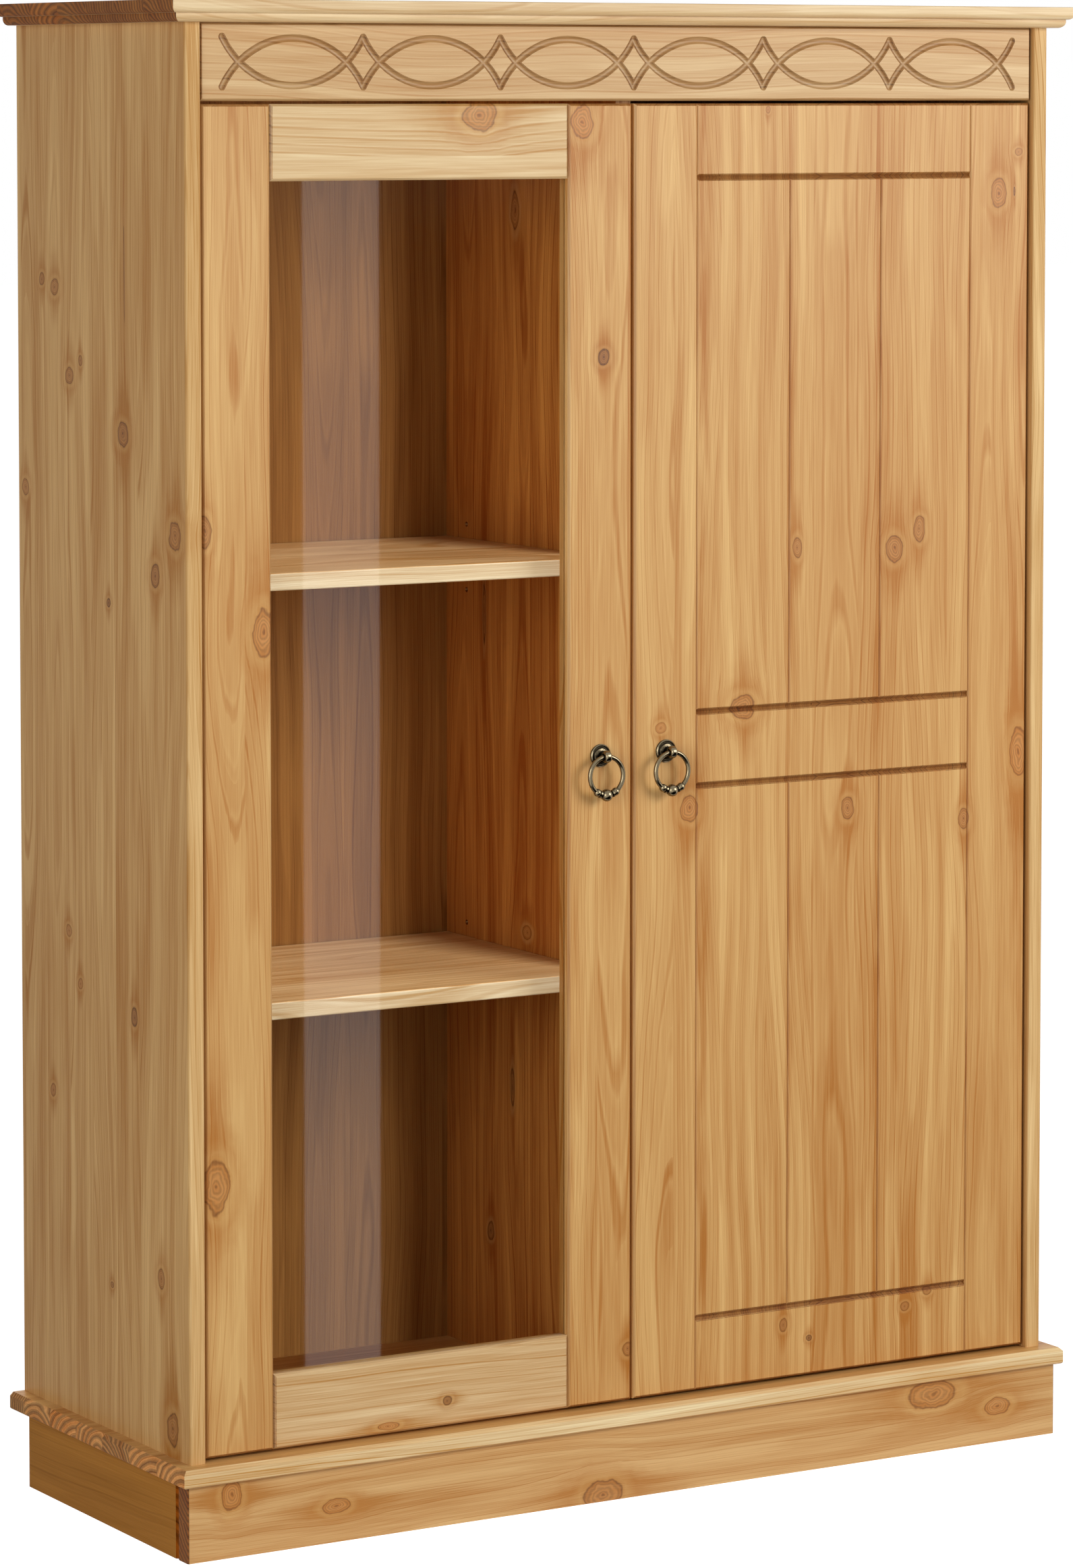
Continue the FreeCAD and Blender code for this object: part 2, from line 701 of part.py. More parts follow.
for solid in (left_catch, left_catch_screws, left_strike):
    right_name = solid.Name.replace("left", "right")
    piece(solid.Name, solid)
    piece(right_name, mirror(right_name, solid))

# Centre partition: from just behind the doors to the back panels, over the full inner height.
partition_whole = box(
    "partition_whole",
    ("partition_thickness", f"{BACK_FACE} - {DOOR_STOP}", "side_height"),
    (f"-{PARTITION}", DOOR_STOP, FLOOR),
)
partition_bores = partition_holes + [
    left_nail_cutter, right_nail_cutter, left_catch_cutter, right_catch_cutter, dowel_cutter
]
partition_cutter = group("partition_cutter", partition_bores)
piece("centre_partition", cut("centre_partition", partition_whole, partition_cutter))

# Frieze: a board above the doors, milled with a round cutter. Each lens is a pair of arcs that cross,
# run on and meet the next pair in a point, so that a row of lenses and diamonds results.
FRIEZE_HALF = f"({INNER} - frieze_end_gap)"
frieze_whole = box(
    "frieze_whole",
    (f"2 * {FRIEZE_HALF}", f"{DOOR_STOP} - {DOOR_FACE}", "frieze_height"),
    (f"-{FRIEZE_HALF}", DOOR_FACE, f"{CEILING} - frieze_height"),
)
frieze_whole = ease("Chamfer", frieze_whole, ("door_arris", "front"))


def ornament_cutter():
    """Arcs of a round cutter, all in the plane in front of the frieze, with a ball at each point.

    The pattern is drawn for one pitch and stretched so that the lenses fill the frieze's length.
    """
    half = value("carcass_width") / 2 - value("side_thickness") - value("frieze_end_gap")
    pitch = 2 * (half - value("ornament_end_margin")) / LENSES
    stretch = pitch / value("ornament_pitch")
    chord = (pitch - stretch * value("ornament_diamond_width")) / 2
    rise = stretch * value("ornament_lens_rise")
    radius = (chord**2 + rise**2) / (2 * rise)
    sweep = 2 * math.degrees(math.asin(pitch / 2 / radius))
    tip_drop = radius - rise - math.sqrt(radius**2 - (pitch / 2) ** 2)
    cutter_radius = value("ornament_cutter_radius")
    face = (value("base_front_overhang") - value("side_depth")) / 2 + value("door_recess")
    plane = face - cutter_radius + value("ornament_depth")
    ceiling = value("plinth_height") + value("base_thickness") + value("side_height")
    middle = ceiling - value("frieze_height") / 2
    solids = []
    for lens in range(LENSES):
        x = (lens - (LENSES - 1) / 2) * pitch
        for side in (1, -1):
            arc = Part.makeTorus(radius, cutter_radius, Vector(), Vector(0, 0, 1), 0, 360, sweep)
            arc.rotate(Vector(), Vector(0, 0, 1), side * 90 - sweep / 2)
            arc.rotate(Vector(), Vector(1, 0, 0), 90)
            arc.translate(Vector(x, plane, middle + side * (rise - radius)))
            solids.append(arc)
    for tip in range(LENSES + 1):
        x = (tip - LENSES / 2) * pitch
        for side in (1, -1):
            solids.append(Part.makeSphere(cutter_radius, Vector(x, plane, middle + side * tip_drop)))
    return solids[0].multiFuse(solids[1:])


carving = doc.addObject("Part::Feature", "frieze_carving")
carving.Shape = ornament_cutter()
piece("frieze_board", cut("frieze_board", frieze_whole, carving))

# Glue blocks in the corner between the frieze and the top board.
frieze_blocks = []
for sign in (-1, 1):
    frieze_blocks.append(
        box(
            "frieze_block",
            ("frieze_block_length", "frieze_block_width", "frieze_block_width"),
            (
                f"({sign}) * {INNER} / 2 - frieze_block_length / 2",
                DOOR_STOP,
                f"{CEILING} - frieze_block_width",
            ),
        )
    )
piece("frieze_glue_blocks", group("frieze_glue_blocks", frieze_blocks))

# Shelves: loose boards on their support pins, two in each half.
for height, level in SHELF_LEVELS.items():
    shelf = box(
        f"left_{height}_shelf_whole",
        (
            f"{INNER} - {PARTITION} - 2 * shelf_side_gap",
            f"{SHELF_BACK} - {SHELF_FRONT}",
            "shelf_thickness",
        ),
        (f"shelf_side_gap - {INNER}", SHELF_FRONT, f"{level} - shelf_thickness"),
    )
    shelf = ease("Fillet", shelf, ("shelf_arris", "front", "left", "right"))
    piece(f"left_{height}_shelf", shelf)
    piece(f"right_{height}_shelf", mirror(f"right_{height}_shelf", shelf))

# Left door: stiles over the full height, rails between them, all rebated behind for the pane.
pull_bore = rod(
    "left_pull_bore",
    "pull_screw_radius + pull_screw_clearance",
    "door_thickness",
    (f"-{PULL_X}", DOOR_FACE, PULL_Z),
    ALONG_Y,
)
SIGHT_LEFT = f"(stile_width - {DOOR_OUTER})"
SIGHT_WIDTH = f"({DOOR_WIDTH} - 2 * stile_width)"
SIGHT_FOOT = f"({DOOR_BOTTOM} + rail_width)"
SIGHT_HEIGHT = f"({DOOR_HEIGHT} - 2 * rail_width)"
SEAT_LEFT = f"({SIGHT_LEFT} - glass_seat_width)"
SEAT_WIDTH = f"({SIGHT_WIDTH} + 2 * glass_seat_width)"
SEAT_FOOT = f"({SIGHT_FOOT} - glass_seat_width)"
SEAT_HEIGHT = f"({SIGHT_HEIGHT} + 2 * glass_seat_width)"
GLASS_FACE = f"({DOOR_FACE} + glass_seat_lip)"
BEAD_FACE = f"({GLASS_FACE} + glass_thickness)"
BEAD_DEPTH = f"({DOOR_BACK} - {BEAD_FACE})"
seat = box(
    "glass_seat",
    (SEAT_WIDTH, f"{DOOR_BACK} - {GLASS_FACE}", SEAT_HEIGHT),
    (SEAT_LEFT, GLASS_FACE, SEAT_FOOT),
)
frame_dowels = []
frame_bores = []
RAIL_MIDDLES = (f"{DOOR_BOTTOM} + rail_width / 2", f"{DOOR_TOP} - rail_width / 2")
for joint in (SIGHT_LEFT, f"({SIGHT_LEFT} + {SIGHT_WIDTH})"):
    for middle in RAIL_MIDDLES:
        for sign in (-1, 1):
            y = f"{DOOR_FACE} + door_thickness / 2"
            z = f"{middle} + ({sign}) * frame_dowel_spread / 2"
            start = (f"{joint} - dowel_length / 2", y, z)
            bore_start = (f"{joint} - dowel_length / 2 - dowel_end_gap", y, z)
            frame_dowels.append(rod("frame_dowel", "dowel_radius", "dowel_length", start, ALONG_X))
            frame_bores.append(
                rod("frame_dowel_bore", "dowel_radius + dowel_clearance",
                    "dowel_length + 2 * dowel_end_gap", bore_start, ALONG_X)
            )
piece("left_door_dowels", group("left_door_dowels", frame_dowels))
frame_cutter = group("frame_dowel_cutter", frame_bores)
FRAME_MEMBERS = {
    "left_door_hinge_stile": (f"-{DOOR_OUTER}", DOOR_BOTTOM, "stile_width", DOOR_HEIGHT),
    "left_door_lock_stile": (f"-{DOOR_INNER} - stile_width", DOOR_BOTTOM, "stile_width", DOOR_HEIGHT),
    "left_door_bottom_rail": (SIGHT_LEFT, DOOR_BOTTOM, SIGHT_WIDTH, "rail_width"),
    "left_door_top_rail": (SIGHT_LEFT, f"{DOOR_TOP} - rail_width", SIGHT_WIDTH, "rail_width"),
}
MEMBER_CUTTERS = {"left_door_hinge_stile": left_hinge_cutter, "left_door_lock_stile": pull_bore}
for name, (x, z, width, height) in FRAME_MEMBERS.items():
    member = box(f"{name}_whole", (width, "door_thickness", height), (x, DOOR_FACE, z))
    member = ease("Chamfer", member, ("door_arris", "front"))
    member = cut(f"{name}_rebated", member, seat)
    member = cut(f"{name}_bored", member, frame_cutter)
    if name in MEMBER_CUTTERS:
        member = cut(f"{name}_fitted", member, MEMBER_CUTTERS[name])
    piece(name, member)

# Pane and the four beads that hold it from behind.
piece(
    "left_door_glass",
    box(
        "left_door_glass",
        (f"{SEAT_WIDTH} - 2 * glass_edge_gap", "glass_thickness", f"{SEAT_HEIGHT} - 2 * glass_edge_gap"),
        (f"{SEAT_LEFT} + glass_edge_gap", GLASS_FACE, f"{SEAT_FOOT} + glass_edge_gap"),
    ),
)
UPRIGHT_BEAD = f"({SEAT_HEIGHT} - 2 * glass_bead_width)"
BEADS = {
    "bottom": (SEAT_LEFT, SEAT_FOOT, SEAT_WIDTH, "glass_bead_width"),
    "top": (SEAT_LEFT, f"{SEAT_FOOT} + {SEAT_HEIGHT} - glass_bead_width", SEAT_WIDTH, "glass_bead_width"),
    "hinge": (SEAT_LEFT, f"{SEAT_FOOT} + glass_bead_width", "glass_bead_width", UPRIGHT_BEAD),
    "lock": (
        f"{SEAT_LEFT} + {SEAT_WIDTH} - glass_bead_width",
        f"{SEAT_FOOT} + glass_bead_width",
        "glass_bead_width",
        UPRIGHT_BEAD,
    ),
}
for side, (x, z, width, height) in BEADS.items():
    name = f"left_door_{side}_glass_bead"
    piece(name, box(name, (width, BEAD_DEPTH, height), (x, BEAD_FACE, z)))

# Right door: one glued panel with V grooves. The outer upright grooves run over the full height,
# the inner ones only in the two fields between the cross grooves.
panel_whole = box(
    "panel_whole",
    (DOOR_WIDTH, "door_thickness", DOOR_HEIGHT),
    (DOOR_INNER, DOOR_FACE, DOOR_BOTTOM),
)
panel_whole = ease("Chamfer", panel_whole, ("door_arris", "front"))
BAND_MIDDLE = f"({DOOR_MIDDLE} + panel_band_rise)"
BAND_HALF = "(panel_middle_band / 2)"
CROSS_LEVELS = (
    f"({DOOR_BOTTOM} + panel_border)",
    f"({BAND_MIDDLE} - {BAND_HALF})",
    f"({BAND_MIDDLE} + {BAND_HALF})",
    f"({DOOR_TOP} - panel_border)",
)
FIELD_LEFT = f"({DOOR_INNER} + panel_border)"
FIELD_WIDTH = f"({DOOR_WIDTH} - 2 * panel_border)"
CROSS_V = Rotation(Vector(1, 0, 0), 135)
UPRIGHT_V = Rotation(Vector(0, 0, 1), 225)
grooves = []
for level in CROSS_LEVELS:
    side = "2 * cross_groove_depth"
    root = (FIELD_LEFT, f"{DOOR_FACE} + cross_groove_depth", level)
    grooves.append(box("cross_groove", (FIELD_WIDTH, side, side), root, CROSS_V))
for count in range(PANEL_FIELDS + 1):
    x = f"{FIELD_LEFT} + {FIELD_WIDTH} * {count} / {PANEL_FIELDS}"
    spans = [(CROSS_LEVELS[0], CROSS_LEVELS[1]), (CROSS_LEVELS[2], CROSS_LEVELS[3])]
    if count in (0, PANEL_FIELDS):
        spans = [(DOOR_BOTTOM, DOOR_TOP)]
    for low, high in spans:
        side = "2 * upright_groove_depth"
        root = (x, f"{DOOR_FACE} + upright_groove_depth", low)
        grooves.append(box("upright_groove", (side, side, f"{high} - {low}"), root, UPRIGHT_V))
panel_grooved = cut("panel_grooved", panel_whole, fuse("panel_grooves", grooves))
panel_hinged = cut("panel_hinged", panel_grooved, right_hinge_cutter)
right_pull_bore = mirror("right_pull_bore", pull_bore)
piece("right_door_panel", cut("right_door_panel", panel_hinged, right_pull_bore))


def turned(name, outline, axis_point):
    """A turned piece: an outline of radius and height, spun about an axis that points out at the front."""
    body = doc.addObject("PartDesign::Body", name)
    plane = next(item for item in body.Origin.OriginFeatures if item.Role == "XY_Plane")
    sketch = body.newObject("Sketcher::SketchObject", f"{name}_outline")
    sketch.AttachmentSupport = (plane, [""])
    sketch.MapMode = "FlatFace"
    corners = [Vector(1 + index, 1 + index**2, 0) for index in range(len(outline))]
    for start, end in zip(corners, corners[1:] + corners[:1]):
        sketch.addGeometry(Part.LineSegment(start, end))
    for index in range(len(outline)):
        sketch.addConstraint(Sketcher.Constraint("Coincident", index, 2, (index + 1) % len(outline), 1))
    for index, (radius, height) in enumerate(outline):
        distances = [("DistanceX", radius), ("DistanceY", height)]
        if height == "0":
            distances.pop()
            sketch.addConstraint(Sketcher.Constraint("PointOnObject", index, 1, -1))
        for kind, expression in distances:
            number = sketch.addConstraint(Sketcher.Constraint(kind, -1, 1, index, 1, 1))
            sketch.setExpression(f"Constraints[{number}]", bound(expression))
    spun = body.newObject("PartDesign::Revolution", f"{name}_spun")
    spun.Profile = sketch
    spun.ReferenceAxis = (sketch, ["V_Axis"])
    spun.Angle = 360
    body.Tip = spun
    return place(body, axis_point, Rotation(Vector(1, 0, 0), 180))


# Ring pulls: a turned rosette on the door, an eye whose neck goes through it, a screw from behind the
# door into that neck, and a ring that hangs in the eye's hole.
NECK_HOLE = "(eye_neck_radius + eye_neck_clearance)"
left_rosette = turned(
    "left_pull_rosette",
    (
        (NECK_HOLE, "0"),
        ("rosette_radius", "0"),
        ("rosette_radius", "rosette_rim"),
        ("rosette_radius - rosette_ring_width / 2", "rosette_bead_height"),
        ("rosette_radius - rosette_ring_width", "rosette_rim"),
        ("rosette_radius - 1.5 * rosette_ring_width", "rosette_rim"),
        ("rosette_radius - 2 * rosette_ring_width", "0.8 * rosette_thickness"),
        ("rosette_radius - 3 * rosette_ring_width", "rosette_thickness"),
        (NECK_HOLE, "rosette_thickness"),
    ),
    (f"-{PULL_X}", DOOR_FACE, PULL_Z),
)
EYE = (f"-{PULL_X}", EYE_Y, PULL_Z)
EYE_END = (f"-{PULL_X} - eye_length / 2", EYE_Y, PULL_Z)
EYE_HOLE = "(ring_wire_radius + eye_length * eye_length / (8 * ring_radius) + ring_play)"
eye_drum = rod("eye_drum", "eye_radius", "eye_length", EYE_END, ALONG_X)
eye_drum = ease("Fillet", eye_drum, ("eye_arris", "left"), ("eye_arris", "right"))
eye_neck = rod("eye_neck", "eye_neck_radius", "eye_reach", EYE, ALONG_Y)
eye_hole = rod("eye_hole", EYE_HOLE, "eye_length", EYE_END, ALONG_X)
neck_bore = rod(
    "eye_neck_bore",
    "pull_screw_radius + screw_clearance",
    "pull_screw_grip",
    (f"-{PULL_X}", f"{DOOR_FACE} - pull_screw_grip", PULL_Z),
    ALONG_Y,
)
eye_whole = fuse("eye_whole", [eye_drum, eye_neck])
left_eye = cut("left_pull_eye", eye_whole, group("eye_openings", [eye_hole, neck_bore]))
pull_shank = rod(
    "pull_shank",
    "pull_screw_radius",
    "door_thickness + pull_screw_grip",
    (f"-{PULL_X}", f"{DOOR_FACE} - pull_screw_grip", PULL_Z),
    ALONG_Y,
)
pull_head = rod(
    "pull_head",
    "pull_screw_head_radius",
    "pull_screw_head_thickness",
    (f"-{PULL_X}", DOOR_BACK, PULL_Z),
    ALONG_Y,
)
left_pull_screw = fuse("left_pull_screw", [pull_shank, pull_head])

RING_MIDDLE = f"({PULL_Z} - ring_radius)"
ring_wire = doc.addObject("Part::Torus", "ring_wire")
bind(ring_wire, Radius1="ring_radius", Radius2="ring_wire_radius")
place(ring_wire, (f"-{PULL_X}", EYE_Y, RING_MIDDLE), ALONG_X * ALONG_Y)
BEAD = (f"-{PULL_X}", EYE_Y, f"{RING_MIDDLE} - ring_radius")
ring_solids = [ring_wire, ball("ring_bead", "ring_bead_radius", BEAD, ALONG_X)]
for sign in (-1, 1):
    bead_centre = (
        f"-{PULL_X} + ({sign}) * ring_radius * sin(ring_side_bead_angle)",
        EYE_Y,
        f"{RING_MIDDLE} - ring_radius * cos(ring_side_bead_angle)",
    )
    tangent = Rotation(Vector(0, 1, 0), 90 - sign * value("ring_side_bead_angle"))
    ring_solids.append(ball("ring_side_bead", "ring_side_bead_radius", bead_centre, tangent))
    inner_face = "(-ring_collar_length / 2)"
    sine = f"({sign}) * sin(ring_collar_angle)"
    cosine = "cos(ring_collar_angle)"
    collar_start = (
        f"-{PULL_X} + ring_radius * {sine} + {inner_face} * {cosine}",
        EYE_Y,
        f"{RING_MIDDLE} - ring_radius * {cosine} + {inner_face} * {sine}",
    )
    tangent = Rotation(Vector(0, 1, 0), 90 - sign * value("ring_collar_angle"))
    ring_solids.append(rod("ring_collar", "ring_collar_radius", "ring_collar_length", collar_start, tangent))
left_ring = fuse("left_pull_ring", ring_solids)
for solid in (left_rosette, left_eye, left_pull_screw, left_ring):
    right_name = solid.Name.replace("left", "right")
    piece(solid.Name, solid)
    piece(right_name, place(group(right_name, [solid]), (f"2 * {PULL_X}", "0", "0")))

doc.recompute()

# Every object must be sound, and every cut must have taken something away, before anything is written.
for item in doc.Objects:
    if "Invalid" in item.State or "Error" in item.State:
        raise RuntimeError(f"{item.Label} failed: {item.State}")
    if item.TypeId == "Part::Cut" and item.Shape.Volume > item.Base.Shape.Volume - 1e-3:
        raise RuntimeError(f"{item.Label} cuts nothing")
for solid in pieces:
    if solid.Shape.isNull() or not solid.Shape.isValid() or not solid.Shape.Solids:
        raise RuntimeError(f"{solid.Label} has no sound shape")

os.makedirs("parts", exist_ok=True)
for solid in pieces:
    solid.Shape.exportStep(f"parts/{solid.Label}.step")
    extent = solid.Shape.BoundBox
    print(
        f"{solid.Label}: {len(solid.Shape.Solids)} solids, {solid.Shape.Volume:.0f} mm3,"
        f" {extent.XLength:.1f} x {extent.YLength:.1f} x {extent.ZLength:.1f} mm"
    )
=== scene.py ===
import json
import math

import bmesh
import bpy
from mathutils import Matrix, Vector

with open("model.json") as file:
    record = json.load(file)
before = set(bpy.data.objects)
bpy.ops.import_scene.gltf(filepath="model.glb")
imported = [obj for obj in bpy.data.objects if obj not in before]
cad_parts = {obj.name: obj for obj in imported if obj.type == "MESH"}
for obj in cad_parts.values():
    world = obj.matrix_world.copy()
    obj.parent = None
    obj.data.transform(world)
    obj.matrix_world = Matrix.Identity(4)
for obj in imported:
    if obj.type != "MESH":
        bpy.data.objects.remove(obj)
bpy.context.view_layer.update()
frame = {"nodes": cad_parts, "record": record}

# Plinth: four pine boards on edge under the base board, the front one lapping over the ends of the
# side ones. The boards are planed, waxed to a honey colour and lie with their grain level.
# Screwed corner blocks of the same pine hold them together from inside.


def linear(code, alpha=1.0):
    """An sRGB hex colour as linear red, green, blue and alpha."""
    shares = [int(code[i:i + 2], 16) / 255 for i in (1, 3, 5)]
    return [s / 12.92 if s < 0.04045 else ((s + 0.055) / 1.055) ** 2.4 for s in shares] + [alpha]


def link(tree, value, socket):
    """Set a socket to a value, or link it to another socket or to a node's first output."""
    if isinstance(value, bpy.types.Node):
        value = next(o for o in value.outputs if not o.is_unavailable)
    if isinstance(value, bpy.types.NodeSocket):
        tree.links.new(value, socket)
    else:
        socket.default_value = value


def add(tree, kind, inputs=(), stops=(), **settings):
    """A node with its settings, the stops of its colour ramp, and its inputs' values or links."""
    node = tree.nodes.new(kind)
    for name, value in settings.items():
        setattr(node, name, value)
    if stops:
        row = node.color_ramp.elements
        while len(row) < len(stops):
            row.new(1.0)
        for element, (position, colour) in zip(row, stops):
            element.position = position
            element.color = colour
    for socket, value in dict(inputs).items():
        link(tree, value, node.inputs[socket])
    return node


def wood_group(name, inputs, outputs):
    """An empty node group with its sockets, and its input and output nodes."""
    tree = bpy.data.node_groups.new(name, "ShaderNodeTree")
    for way, sockets in (("INPUT", inputs), ("OUTPUT", outputs)):
        for socket, kind in sockets.items():
            tree.interface.new_socket(socket, in_out=way, socket_type="NodeSocket" + kind)
    given = tree.nodes.new("NodeGroupInput").outputs
    return tree, given, tree.nodes.new("NodeGroupOutput")


# A knot is a branch's cross-section: the grain parts round it. Across, Along and Centre are in metres;
# Size holds one over the knot's half width and half length. Each knot works on the grain as the one
# before has left it. A deep smear lies about it, as wide as the knot and nearly three times as long.
SMEAR_REACH = (1.05, 0.0, 0.36)
BULGE_FALL, BULGE_POWER = 0.3, -2.0
PARTING = -0.85
knot_tree, given, result = wood_group(
    "pine_knot",
    {"Across": "Float", "Near": "Float", "Tint": "Float", "Smear": "Float", "Along": "Float",
     "Uneven": "Vector", "Centre": "Vector", "Size": "Vector", "Dark": "Float"},
    {"Across": "Float", "Near": "Float", "Tint": "Float", "Smear": "Float"},
)
away = add(knot_tree, "ShaderNodeCombineXYZ", {0: given["Across"], 2: given["Along"]})
away = add(knot_tree, "ShaderNodeVectorMath", {0: away, 1: given["Centre"]}, operation="SUBTRACT")
radii = add(knot_tree, "ShaderNodeVectorMath", {0: away, 1: given["Size"], 2: given["Uneven"]},
            operation="MULTIPLY_ADD")
smear = add(knot_tree, "ShaderNodeVectorMath", {0: radii, 1: SMEAR_REACH}, operation="MULTIPLY")
smear = add(knot_tree, "ShaderNodeVectorMath", {0: smear}, operation="LENGTH").outputs["Value"]
smear = add(knot_tree, "ShaderNodeMath", {0: smear, 1: given["Smear"]}, operation="MINIMUM")
radii = add(knot_tree, "ShaderNodeVectorMath", {0: radii}, operation="LENGTH").outputs["Value"]
square = add(knot_tree, "ShaderNodeMath", {0: radii, 1: radii}, operation="MULTIPLY")
bulge = add(knot_tree, "ShaderNodeMath", {0: square, 1: BULGE_FALL, 2: 1.0}, operation="MULTIPLY_ADD")
bulge = add(knot_tree, "ShaderNodeMath", {0: bulge, 1: BULGE_POWER}, operation="POWER")
sideways = add(knot_tree, "ShaderNodeSeparateXYZ", {0: away}).outputs["X"]
parted = add(knot_tree, "ShaderNodeMath", {0: sideways, 1: bulge}, operation="MULTIPLY")
across = add(knot_tree, "ShaderNodeMath", {0: parted, 1: PARTING, 2: given["Across"]},
             operation="MULTIPLY_ADD")
nearer = add(knot_tree, "ShaderNodeMath", {0: radii, 1: given["Near"]}, operation="LESS_THAN")
tint = add(knot_tree, "ShaderNodeMix", {0: nearer, 2: given["Tint"], 3: given["Dark"]})
near = add(knot_tree, "ShaderNodeMath", {0: radii, 1: given["Near"]}, operation="MINIMUM")
for socket, node in {"Across": across, "Near": near, "Tint": tint, "Smear": smear}.items():
    link(knot_tree, node.outputs[0], result.inputs[socket])

# Waxed pine, planed and glued up from strips. The eye sees growth rings about a heart that lies behind
# each strip's face and wanders along it, each a dark line beside a pale one, then fibres, pale and deep
# flames and a slow change of tone under a low sheen. Cut ends are darker and dull. Sizes are in metres:
# rings are 2.4 to 5.2 mm apart, which is a little coarser than real ones, so that they show; fibres are
# 0.8 and 3 mm wide and 60 and 250 mm long, slow changes 40 mm wide and 0.8 m long, flames 12 mm wide
# and 350 mm long, wavers of the rings 9 mm wide and 110 mm long, patches in a streak 12 by 120 mm.
RING_LEAST, RING_MORE = 0.0024, 0.0028
FINE_FIBRES = (1 / 0.0008, 1 / 0.0008, 1 / 0.060)
COARSE_FIBRES = (1 / 0.003, 1 / 0.003, 1 / 0.250)
TONES = (1 / 0.040, 1 / 0.040, 1 / 0.8)
WAVERS = (1 / 0.009, 1 / 0.009, 1 / 0.110)
HEART_SPREAD, HEART_SHIFT = (0.110, 0.050, 0.0), (-0.055, 0.010, 0.0)
SWAY_SPREAD, SWAY_SHIFT = (0.060, 0.036, 0.0), (-0.030, -0.018, 0.0)
SWAYS_ALONG = 1.7
SLOPE_SPREAD, SLOPE_SHIFT = 0.02, -0.01
STRIP_STEP, YEAR_STEP = 3.7, 17.0
WAVER_REACH = 0.0014
FAINTEST_YEAR, YEAR_SPREAD = 0.35, 0.65
RING_SHADES = ((0.0, 0.30), (0.50, 0.42), (0.66, 0.0), (0.80, 1.0), (0.92, 0.85), (1.0, 0.30))
FLAME_SHADES = ((0.34, 1.0), (0.44, 0.5), (0.57, 0.5), (0.62, 0.0))
FLAME_WIDTH, FLAME_LENGTH = 0.012, 0.35
SMEAR_FULL, SMEAR_GONE = 0.5, 2.0
EDGE_FROM, EDGE_FULL = 0.55, 0.85
END_FROM, END_FULL = 0.15, 0.35
END_TURN = 3.6
END_CONTRAST, END_LATE = 0.36, -0.3
END_LEAST, END_MOST = 0.75, 1.45
KNOT_REACH, KNOT_TURNS, KNOT_UNROUND, KNOT_CONTRAST = 3.0, 30.0, 5.0, 0.22
KNOT_RIM_IN, KNOT_RIM_OUT = 0.9, 1.1
WORN_LEAST, WORN_FIBRE = 0.5, 0.9
CARVED_SHADE_TINT = (0.40, 0.27, 0.15)
CARVED_LEAST, CARVED_EARLY, CARVED_LATE = 0.02, 1.2, -0.8
LATE_RELIEF = 0.6
DULL_LEAST, DULL_FIBRE, DULL_END = 0.34, 0.14, 0.35
STREAK_PATCHES = (1 / 0.012, 1 / 0.012, 1 / 0.120)
pine_tree, given, result = wood_group(
    "waxed_pine",
    {"Point": "Vector", "Facing": "Vector", "Across": "Float", "Near": "Float", "Tint": "Float",
     "Smear": "Float", "Strip": "Float", "Joint": "Float", "Seed": "Float", "Pale": "Color",
     "Deep": "Color", "Edge": "Color", "End": "Color", "Rings": "Float", "Figure": "Float",
     "Deeper": "Float", "Groove_Shade": "Float"},
    {"Color": "Color", "Roughness": "Float", "Height": "Float"},
)
place = add(pine_tree, "ShaderNodeSeparateXYZ", {0: given["Point"]}).outputs
strip = add(pine_tree, "ShaderNodeMath", {0: place["X"], 1: given["Joint"]}, operation="SUBTRACT")
strip = add(pine_tree, "ShaderNodeMath", {0: strip, 1: given["Strip"]}, operation="DIVIDE")
strip = add(pine_tree, "ShaderNodeMath", {0: strip}, operation="FLOOR")
chance = add(pine_tree, "ShaderNodeCombineXYZ", {0: strip, 1: given["Seed"], 2: 0.5})
chance = add(pine_tree, "ShaderNodeTexWhiteNoise", {0: chance}, noise_dimensions="3D").outputs
middle = add(pine_tree, "ShaderNodeMath", {0: strip, 1: 0.5}, operation="ADD")
middle = add(pine_tree, "ShaderNodeMath", {0: middle, 1: given["Strip"], 2: given["Joint"]},
             operation="MULTIPLY_ADD")
local = add(pine_tree, "ShaderNodeMath", {0: given["Across"], 1: middle}, operation="SUBTRACT")
local = add(pine_tree, "ShaderNodeCombineXYZ", {0: local, 1: place["Y"], 2: 0.0})
heart = add(pine_tree, "ShaderNodeVectorMath", {0: chance["Color"], 1: HEART_SPREAD, 2: HEART_SHIFT},
            operation="MULTIPLY_ADD")
own = add(pine_tree, "ShaderNodeMath", {0: strip, 1: STRIP_STEP, 2: given["Seed"]}, operation="MULTIPLY_ADD")
sway = add(pine_tree, "ShaderNodeMath", {0: place["Z"], 1: SWAYS_ALONG}, operation="MULTIPLY")
sway = add(pine_tree, "ShaderNodeCombineXYZ", {0: own, 1: 0.0, 2: sway})
sway = add(pine_tree, "ShaderNodeTexNoise", {"Vector": sway, "Scale": 1.0, "Detail": 1.5}).outputs["Color"]
sway = add(pine_tree, "ShaderNodeVectorMath", {0: sway, 1: SWAY_SPREAD, 2: SWAY_SHIFT},
           operation="MULTIPLY_ADD")
trunk = add(pine_tree, "ShaderNodeVectorMath", {0: local, 1: heart}, operation="ADD")
trunk = add(pine_tree, "ShaderNodeVectorMath", {0: trunk, 1: sway}, operation="ADD")
trunk = add(pine_tree, "ShaderNodeVectorMath", {0: trunk}, operation="LENGTH").outputs["Value"]
slope = add(pine_tree, "ShaderNodeSeparateXYZ", {0: chance["Color"]}).outputs["Z"]
slope = add(pine_tree, "ShaderNodeMath", {0: slope, 1: SLOPE_SPREAD, 2: SLOPE_SHIFT},
            operation="MULTIPLY_ADD")
